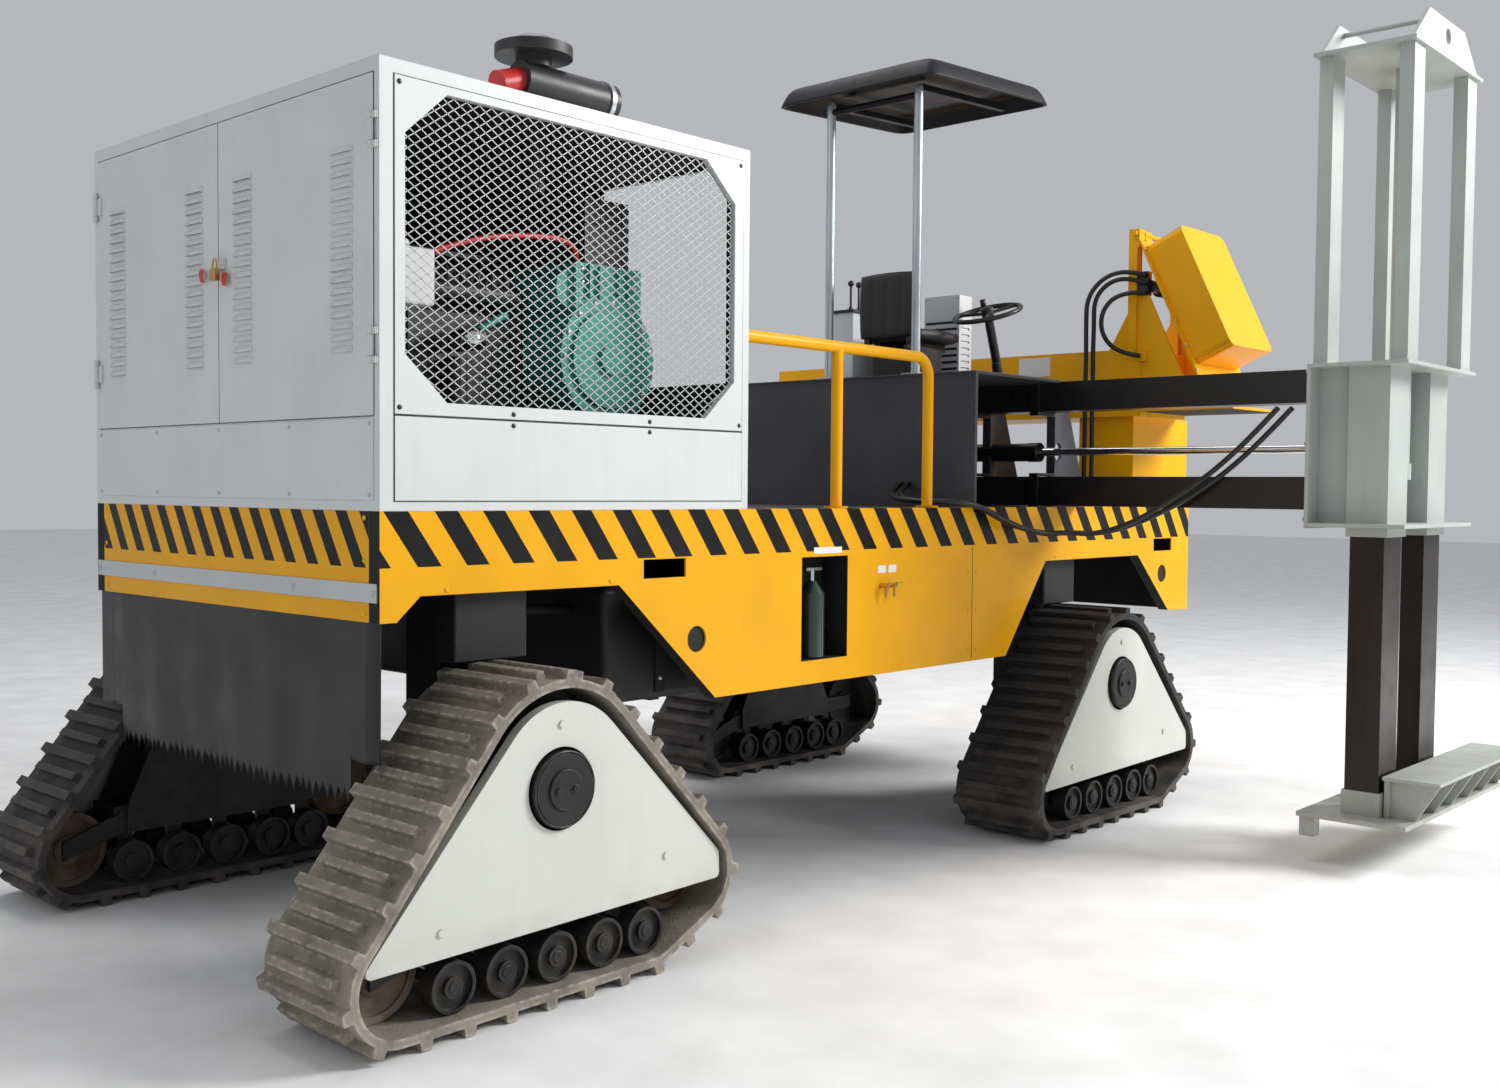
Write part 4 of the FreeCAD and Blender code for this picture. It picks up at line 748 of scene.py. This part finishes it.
def make_pump_details(m):
    """Bolts, ribs and a hub on the round pump case, and its terminal box's lid and glands."""
    bolts = [on_circle(at(PUMP_X, PUMP_FACE, PUMP_Z), 0.262, math.radians(k * 24 - 84))
             for k in range(12)]
    bolts += [at(x, -0.80, z) for x in (1.33, 1.65) for z in (2.93, 2.99)]
    fasteners("pump_bolts", bolts, (0, -1, 0), 0.013, m["screw"])
    bm = bmesh.new()
    for x in (1.36, 1.42, 1.54, 1.60):
        add_box(bm, (x - 0.006, x + 0.006), (-0.822, -0.80), (2.86, 3.015))
    add_tube(bm, [at(PUMP_X, -0.85, PUMP_Z), at(PUMP_X, -0.82, PUMP_Z)], 0.075, 24)
    from_bmesh("pump_ribs", bm, m["teal"], "chassis")
    bm = bmesh.new()
    add_box(bm, (1.345, 1.625), (-0.796, -0.545), (3.205, 3.212))
    for z in (3.06, 3.12):
        add_tube(bm, [at(1.64, -0.70, z), at(1.61, -0.70, z)], 0.016, 12)
    from_bmesh("terminal_lid", bm, m["engine"], "chassis")


def make_engine_details(m):
    """What else shows through the mesh: runners, pipes, pulleys, filter and coolant tank."""
    runners = [(spline_points([at(x, -0.52, 2.80), at(x, -0.60, 2.86), at(x, -0.58, 2.98),
                               at(x, -0.42, 3.02)]), 0.016, 10)
               for x in (0.66 + i * 0.08 for i in range(6))]
    tubes("intake_runners", runners, m["engine"])
    route = [at(0.20, -0.86, 2.82), at(0.32, -0.86, 2.886), at(0.537, -0.86, 2.985),
             at(0.765, -0.86, 3.056), at(1.034, -0.85, 3.096), at(1.204, -0.84, 3.097),
             at(1.30, -0.80, 3.06), at(1.34, -0.74, 3.00)]
    tubes("red_charge_pipe", [(spline_points(route), 0.012, 14)], m["red"])
    bm = bmesh.new()
    for centre, radius in ((at(0.535, -0.30, 2.30), 0.12), (at(0.535, -0.44, 2.62), 0.07),
                           (at(0.535, -0.18, 2.72), 0.08)):
        for depth in (0.0, 0.018):
            step = centre + Vector((depth - 0.018, 0, 0))
            add_dome(bm, step, Vector((-1, 0, 0)), radius, 0.014, 28)
    from_bmesh("engine_pulleys", bm, m["frame"], "chassis", True)
    tubes("filter_and_starter", [([at(0.703, -0.56, 2.62), at(0.703, -0.86, 2.62)], 0.047, 24),
                                 ([at(0.95, -0.60, 2.20), at(1.15, -0.60, 2.20)], 0.062, 24)],
          m["chrome"])
    route = [at(0.74, -0.72, 2.64), at(0.80, -0.76, 2.68), at(0.88, -0.78, 2.73),
             at(0.98, -0.70, 2.76), at(1.05, -0.58, 2.74)]
    tubes("fuel_line", [(spline_points(route), 0.016, 12)], m["teal"])
    bm = bmesh.new()
    add_box(bm, (0.10, 0.32), (-1.10, -0.96), (2.70, 2.92))
    add_tube(bm, [at(0.21, -1.03, 2.92), at(0.21, -1.03, 2.955)], 0.030, 20)
    tank = from_bmesh("coolant_tank", bm, m["label"], "chassis")
    rounded(tank, 0.012, 3)


def make_painted_shade_boards(m):
    """Black boards inside the housing that paint its shade: the left wall, the ceiling and beside
    the radiator.
    """
    boxes("painted_shade_boards", [((0.04, 1.97), (1.150, 1.164), (1.93, 3.53)),
                             ((0.04, 1.97), (-1.150, 1.150), (3.530, 3.545)),
                             ((1.982, 1.992), (-0.20, 0.698), (2.502, 3.518))], m["dark"])


# ---- skirt, fascias and belly ----------------------------------------------------------
def make_skirt(m):
    """A hung rubber curtain with soft waves, a saw-tooth fringe and raised corners."""
    low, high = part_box("rear_skirt")
    middle_x = (low[0] + high[0]) / 2
    corner = 0.985
    half = HALF_WIDTH - 0.012
    tooth_count = 39
    step = 2 * corner / tooth_count
    columns = [(-half, 0.955), (-1.085, 0.948), (-corner - 0.001, 0.955)]
    for i in range(tooth_count):
        left = -corner + i * step
        drop = 0.012 * math.sin(i * 2.1)
        columns.append((left, 0.838))
        columns.append((left + step * (0.5 + 0.08 * math.sin(i * 5.3)), 0.782 + drop))
    columns += [(corner, 0.838), (corner + 0.001, 0.955), (1.085, 0.948), (half, 0.955)]
    rows = 22
    top = 1.577
    bm = bmesh.new()
    grid = []
    for y, bottom in columns:
        column = []
        for r in range(rows + 1):
            share = r / rows
            z = top + (bottom - top) * share
            wave = 0.007 * share * math.sin(y * 7.0 + 0.6) + 0.004 * share * math.sin(y * 19.0)
            spot = at(0, y, z)
            column.append(bm.verts.new(Vector((middle_x + wave, spot.y, spot.z))))
        grid.append(column)
    join_grid(bm, grid)
    skirt = from_bmesh("rubber_skirt", bm, m["skirt"], "chassis", True)
    thick = skirt.modifiers.new("sheet", "SOLIDIFY")
    thick.thickness = 0.005
    thick.offset = 0
    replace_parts(skirt, "rear_skirt")


def make_labels(m):
    """Blank labels, a seam and bolts on the side fascia, and shields on the legs."""
    label_y = (-HALF_WIDTH - 0.0015, -HALF_WIDTH)
    boxes("fascia_labels", [((2.50, 2.72), label_y, (1.680, 1.712)),
                            ((3.02, 3.09), label_y, (1.565, 1.605)),
                            ((3.11, 3.18), label_y, (1.565, 1.605))], m["label"])
    boxes("beam_label", [((5.7385, 5.740), (-0.58, -0.33), (2.79, 2.92))], m["label"])
    points = [at(x, -HALF_WIDTH, z) for x in (3.86, 3.94) for z in (1.10, 1.32, 1.54)]
    points += [at(x, -HALF_WIDTH, 1.60) for x in (0.30, 1.15, 4.80, 5.75)]
    fasteners("fascia_bolts", points, (0, -1, 0), 0.010, m["yellow"])
    seam_y = (-HALF_WIDTH - 0.0012, -HALF_WIDTH)
    boxes("fascia_seam", [((3.898, 3.902), seam_y, (1.045, 1.685))], m["black"])
    shields = [((x, x + 0.36), (side * 0.99, side * 1.12), (1.30, 1.69))
               for side in (-1, 1) for x in (HUB_X["rear"] - 0.18, HUB_X["front"] - 0.18)]
    rounded(boxes("leg_shields", shields, m["frame"]), 0.006)


def make_belly(m):
    """The dark tank slung under the frame, its straps and pipes, and black plates behind round
    holes that paint the shade seen through them.
    """
    side_y, bottom, top = 0.98, 1.02, 1.558
    tank = boxes("belly_tank", [((1.30, 4.30), (-side_y, side_y), (bottom, top))], m["frame"])
    rounded(tank, 0.035, 4)
    strap_x = (1.62, 2.80, 3.98)
    bm = bmesh.new()
    for x in strap_x:
        for side in (-1, 1):
            add_box(bm, (x, x + 0.06), (side * 0.979, side * 0.988), (1.055, top))
        add_box(bm, (x, x + 0.06), (-0.95, 0.95), (1.012, 1.021))
    for y in (-0.66, -0.74, 0.70):
        add_tube(bm, [at(0.70, y, 1.47), at(1.31, y, 1.44)], 0.020, 12)
    add_tube(bm, [at(2.2, -0.3, 1.025), at(2.2, -0.3, 0.998)], 0.032, 6)
    # Black plates behind the two round holes in the fascia: painted shade seen through the holes.
    for x, z in ((1.678, 1.319), (6.218, 1.448)):
        add_box(bm, (x - 0.10, x + 0.10), (-1.1895, -1.184), (z - 0.10, z + 0.10))
    from_bmesh("belly_fittings", bm, m["dark"], "chassis")
    points = [at(x + 0.03, -0.988, z) for x in strap_x for z in (1.12, 1.48)]
    fasteners("belly_bolts", points, (0, -1, 0), 0.012, m["screw"])


# ---- track unit details ----------------------------------------------------------------
def make_track_details(m):
    """Hub cap rings and plugs, which turn with the sprockets."""
    for end, side in UNITS:
        outward = Vector((0, -1 if side == "right" else 1, 0))
        hub = at(HUB_X[end], 0, 0.84) + outward * 1.592
        name = f"{end}_{side}"
        bm = bmesh.new()
        for radius, depth in ((0.146, -0.014), (0.112, -0.016), (0.076, -0.006)):
            ring = [on_circle(hub + outward * depth, radius, math.radians(angle))
                    for angle in range(0, 361, 10)]
            add_tube(bm, ring, 0.005, 8)
        for i in range(12):
            spot = on_circle(hub - outward * 0.026, 0.129, 2 * math.pi * i / 12)
            add_dome(bm, spot, outward, 0.010, 0.009, 6)
        from_bmesh(f"hub_rings_{name}", bm, m["black"], f"sprocket_{name}", True)


# ---- operator's station ----------------------------------------------------------------
CANOPY_X = (3.780, 5.093)
CANOPY_Y = (-0.957, 0.223)
CANOPY_Z = 4.364
CANOPY_TILT = math.radians(3.2)
CANOPY_SIDE = 0.9
CANOPY_CORNER = 16


def outer_skin(reach):
    """Height of the roof's top at a share of the way out: a soft crown and upright sides."""
    if reach > CANOPY_SIDE:
        return 0.112 - 0.112 * ((reach - CANOPY_SIDE) / (1 - CANOPY_SIDE)) ** 2.4
    return 0.112 + 0.020 * (1 - (reach / CANOPY_SIDE) ** 2)


def inner_skin(reach):
    """Height of the roof's underside, with its panel standing lower in the middle."""
    if reach > CANOPY_SIDE:
        return 0.092 - 0.092 * ((reach - CANOPY_SIDE) / (1 - CANOPY_SIDE)) ** 2.4
    if reach > 0.62:
        return 0.092
    if reach > 0.56:
        return 0.092 - 0.034 * (0.62 - reach) / 0.06
    return 0.058


def canopy_point(u, v, skin, shrink):
    """A point of the roof for u and v from -1 to 1."""
    reach = max(abs(u), abs(v))
    edge = (abs(u) ** CANOPY_CORNER + abs(v) ** CANOPY_CORNER) ** (1 / CANOPY_CORNER)
    pull = 1 - (1 - (reach / edge if edge > 1e-6 else 1.0)) * reach ** 3
    spread = 1 - 0.045 * min(1.0, (1 - reach) / (1 - CANOPY_SIDE))
    size = pull * spread * shrink
    (x0, x1), (y0, y1) = CANOPY_X, CANOPY_Y
    run = (x1 - x0) / 2 * (1 + u * size)
    return at(x0 + run * math.cos(CANOPY_TILT), (y0 + y1) / 2 + v * size * (y1 - y0) / 2,
              CANOPY_Z + skin(reach) + run * math.sin(CANOPY_TILT))


def make_canopy(m):
    """A moulded roof: near-upright sides, a soft crown, an underside with a raised panel."""
    crown, side = 24, 10
    steps = [i / crown * CANOPY_SIDE for i in range(crown + 1)]
    steps += [CANOPY_SIDE + (1 - CANOPY_SIDE) * (1 - (1 - k / side) ** 1.5)
              for k in range(1, side + 1)]
    steps = [-step for step in reversed(steps[1:])] + steps
    bm = bmesh.new()
    rims = []
    for skin, shrink in ((outer_skin, 1.0), (inner_skin, 0.975)):
        grid = [[bm.verts.new(canopy_point(u, v, skin, shrink)) for v in steps] for u in steps]
        join_grid(bm, grid)
        rims.append(rim_of(grid))
    join_rings(bm, *rims)
    roof = from_bmesh("canopy_shell", bm, m["canopy"], "chassis", True)
    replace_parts(roof, "canopy")


def crowned_box(bm, half, bulge, seams):
    """A padded block about the origin: its faces swell, and seams cross them as channels."""
    steps = 20
    rims = []
    for face in (1, -1):
        grid = []
        for i in range(steps + 1):
            row = []
            for j in range(steps + 1):
                u, v = -1 + 2 * i / steps, -1 + 2 * j / steps
                swell = (1 - u ** 4) * (1 - v ** 4)
                near = 1 - abs(math.sin((v + 1) / 2 * seams * math.pi)) * 6
                groove = bulge * 0.55 * max(0.0, near)
                rise = half[2] * (0.45 + 0.55 * swell ** 0.4) - groove * swell
                pull = 1 - 0.05 * abs(u * v) ** 2
                row.append(bm.verts.new((u * half[0] * pull, v * half[1] * pull, face * rise)))
            grid.append(row)
        join_grid(bm, grid)
        rims.append(rim_of(grid))
    join_rings(bm, *rims)


def make_seat(m):
    """Black vinyl seat: a crowned pan and back with sewn channels, on steel runners."""
    y = -0.43
    upright = Matrix.Rotation(math.radians(-90), 4, "Y")
    for name, half, where, turn in (
            ("seat_cushion", (0.215, 0.22, 0.045), at(4.345, y, PLATFORM_TOP + 0.262), Matrix()),
            ("seat_back", (0.20, 0.215, 0.04), at(4.11, y, PLATFORM_TOP + 0.44), upright)):
        bm = bmesh.new()
        crowned_box(bm, half, 0.02, 4)
        pad = from_bmesh(name, bm, m["vinyl"], None, True)
        pad.matrix_world = Matrix.Translation(where) @ turn
        bpy.context.view_layer.update()
        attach(pad, "seat")
        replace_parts(pad, "seat")
    spans = [((4.15, 4.50), (y + offset - 0.022, y + offset + 0.022),
              (PLATFORM_TOP + 0.2005, PLATFORM_TOP + 0.226)) for offset in (-0.12, 0.12)]
    spans += [((4.095, 4.125), (y + offset - 0.02, y + offset + 0.02),
               (PLATFORM_TOP + 0.215, PLATFORM_TOP + 0.30)) for offset in (-0.16, 0.16)]
    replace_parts(boxes("seat_runners", spans, m["black"], "seat"), "seat")


def make_station_details(m):
    """The steering wheel's cap and knob, cabinet louvres and screws, and platform bolts."""
    bm = bmesh.new()
    rim = at(4.64, -0.79, 3.10)
    tilt = math.radians(20)
    normal = Vector((-math.sin(tilt), 0, math.cos(tilt)))
    add_dome(bm, rim + normal * 0.025, normal, 0.042, 0.016, 24)
    sideways = Vector((0, 1, 0))
    forward = sideways.cross(normal)
    knob_angle = 0.9
    radial = sideways * math.cos(knob_angle) + forward * math.sin(knob_angle)
    spot = rim + radial * 0.205 + normal * 0.012
    add_tube(bm, [spot, spot + normal * 0.045], 0.018, 16)
    from_bmesh("wheel_cap_and_knob", bm, m["plastic"], "steering_wheel", True)
    bm = bmesh.new()
    for row in range(8):
        z = PLATFORM_TOP + 0.095 + row * 0.042
        add_strip(bm, at(4.688, -0.53, z), at(4.688, -0.29, z), 0.016, 0.004, Vector((1, 0, 0.5)))
    from_bmesh("cabinet_louvres", bm, m["charcoal"], "chassis")
    points = [at(4.689, y, z) for y in (-0.535, -0.285) for z in (2.70, 3.225)]
    fasteners("cabinet_screws", points, (-1, 0, 0), 0.007, m["screw"])
    points = [at(x, y, PLATFORM_TOP) for x in (3.95, 4.25, 4.55, 4.80) for y in (-1.17, 1.17)]
    fasteners("platform_bolts", points, (0, 0, 1), 0.012, m["screw"])


# ---- front group and mast --------------------------------------------------------------
def make_hood_details(m):
    """Bolts round the tilted hood's flange, and strips that close its rounded corners."""
    tilt = math.radians(25)
    normal = Vector((0, -math.cos(tilt), math.sin(tilt)))
    down = Vector((0, -math.sin(tilt), -math.cos(tilt)))
    bm = bmesh.new()
    for x in (5.733, 6.400):
        for i in range(6):
            spot = at(x, -1.215, 3.690) + down * (0.13 + i * 0.175) + normal * 0.014
            add_dome(bm, spot, normal, 0.011, 0.007, 6)
    from_bmesh("hood_bolts", bm, m["screw"], "chassis", True)
    bm = bmesh.new()
    for x, side in ((5.815, -1), (6.335, 1)):
        for depth, along in ((0.145, -1), (0.910, 1)):
            centre = at(x, -1.215, 3.690) + down * depth
            section = []
            for radius, turn in ((0.0535, range(0, 91, 10)), (0.047, range(90, -1, -10))):
                for angle in turn:
                    a = math.radians(angle)
                    section.append(centre + Vector((side * math.cos(a) * radius, 0, 0))
                                   + down * along * math.sin(a) * radius)
            ends = [[bm.verts.new(v + normal * reach) for v in section] for reach in (0.012, 0.266)]
            join_rings(bm, *ends)
            for end in ends:
                bm.faces.new(end)
    from_bmesh("hood_corners", bm, m["yellow"], "chassis")


def make_mast_details(m):
    """Flange bolts of the mast sleeve, and weld beads on the mast and its foot."""
    bm = bmesh.new()
    for x in (4.84, 5.02, 5.55, 5.70):
        for z in (1.86, 2.27, 2.66):
            add_dome(bm, at(x, -2.720, z), Vector((0, 1, 0)), 0.016, 0.012, 6)
    from_bmesh("flange_bolts", bm, m["screw"], "side_arm", True)
    beads = [([at(x, y0 + (y1 - y0) * k / 8, 2.703 + 0.0012 * (k % 2)) for k in range(9)], 0.005, 6)
             for x in (4.855, 5.015, 5.725, 5.885) for y0, y1 in ((-3.23, -3.155), (-2.815, -2.74))]
    beads += [([at(x + 0.018, -3.16 - 0.0125 * k, 0.274 + 0.001 * (k % 2)) for k in range(11)],
               0.004, 6) for x in (4.98, 5.266, 5.552, 5.838, 6.124, 6.41)]
    tubes("weld_beads", beads, m["mast"], "side_arm")


# ---- hoses -----------------------------------------------------------------------------
HOSE_RADIUS = 0.015
ARM_HOSE_NEAR = [(4.832, -2.640, 2.468), (4.826, -2.540, 2.360), (4.824, -2.390, 2.215),
                 (4.815, -2.215, 2.070), (4.786, -2.010, 1.935), (4.748, -1.780, 1.818),
                 (4.700, -1.550, 1.748), (4.645, -1.390, 1.758), (4.500, -1.300, 1.750),
                 (4.320, -1.240, 1.785), (4.100, -1.236, 1.842), (3.900, -1.232, 1.920),
                 (3.735, -1.190, 1.945), (3.650, -1.060, 1.940), (3.650, -0.900, 1.950),
                 (3.757, -0.783, 1.991), (3.903, -0.744, 2.040)]
ARM_HOSE_FAR = [(4.786, -2.580, 2.468), (4.780, -2.480, 2.360), (4.778, -2.330, 2.215),
                (4.769, -2.155, 2.070), (4.740, -1.950, 1.935), (4.702, -1.760, 1.818),
                (4.654, -1.550, 1.748), (4.595, -1.405, 1.758), (4.470, -1.330, 1.745),
                (4.310, -1.288, 1.778), (4.100, -1.282, 1.832), (3.910, -1.278, 1.900),
                (3.715, -1.232, 1.940), (3.606, -1.075, 1.938), (3.606, -0.885, 1.950),
                (3.728, -0.735, 1.987), (3.903, -0.693, 2.040)]
HOOD_HOSE_INNER = [(5.556, -1.010, 1.906), (5.550, -1.016, 2.160), (5.562, -1.006, 2.420),
                   (5.552, -1.014, 2.680), (5.560, -1.006, 2.900), (5.554, -1.014, 3.085),
                   (5.556, -1.010, 3.263), (5.604, -1.091, 3.375), (5.670, -1.205, 3.399),
                   (5.721, -1.293, 3.358)]
HOOD_HOSE_OUTER = [(5.533, -0.971, 1.906), (5.540, -0.964, 2.150), (5.528, -0.974, 2.400),
                   (5.538, -0.966, 2.660), (5.530, -0.974, 2.890), (5.536, -0.966, 3.090),
                   (5.533, -0.971, 3.279), (5.591, -1.070, 3.415), (5.669, -1.203, 3.444),
                   (5.719, -1.288, 3.412)]
HOOD_HOSE_LOOP = [(5.721, -1.291, 3.302), (5.640, -1.152, 3.306), (5.580, -1.051, 3.189),
                  (5.581, -1.053, 3.024), (5.640, -1.152, 2.907), (5.708, -1.268, 2.890)]


def make_hose(name, route, material, node, body):
    """One smooth hose along its route."""
    line = spline_points([at(*p) for p in route])
    bm = bmesh.new()
    add_tube(bm, line, HOSE_RADIUS, 16)
    hose = from_bmesh(name, bm, material, body, True)
    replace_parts(hose, node)
    return hose


def make_hoses(m):
    """The slack pair to the mast, and the risers and the short loop at the tilted box."""
    for name, route in (("arm_hose_near", ARM_HOSE_NEAR), ("arm_hose_far", ARM_HOSE_FAR)):
        hose = make_hose(name, route, m["hose"], "arm_hoses", None)
        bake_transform(hose)
    for name, route in (("inner", HOOD_HOSE_INNER), ("outer", HOOD_HOSE_OUTER),
                        ("loop", HOOD_HOSE_LOOP)):
        make_hose(f"hood_hose_{name}", route, m["hose"], "hood_hoses", "chassis")


def main():
    """Builds everything in order: camera, stage, CAD finishes, then the added pieces."""
    make_camera()
    make_stage()
    m = make_materials()
    make_hoses(m)
    paint_frame_nodes(m)
    round_edges()
    make_louvres(m)
    make_mesh_guards(m)
    make_side_panels(m)
    make_rear_details(m)
    make_pump_details(m)
    make_engine_details(m)
    make_painted_shade_boards(m)
    make_skirt(m)
    make_labels(m)
    make_belly(m)
    make_track_details(m)
    make_canopy(m)
    make_seat(m)
    make_station_details(m)
    make_hood_details(m)
    make_mast_details(m)


main()
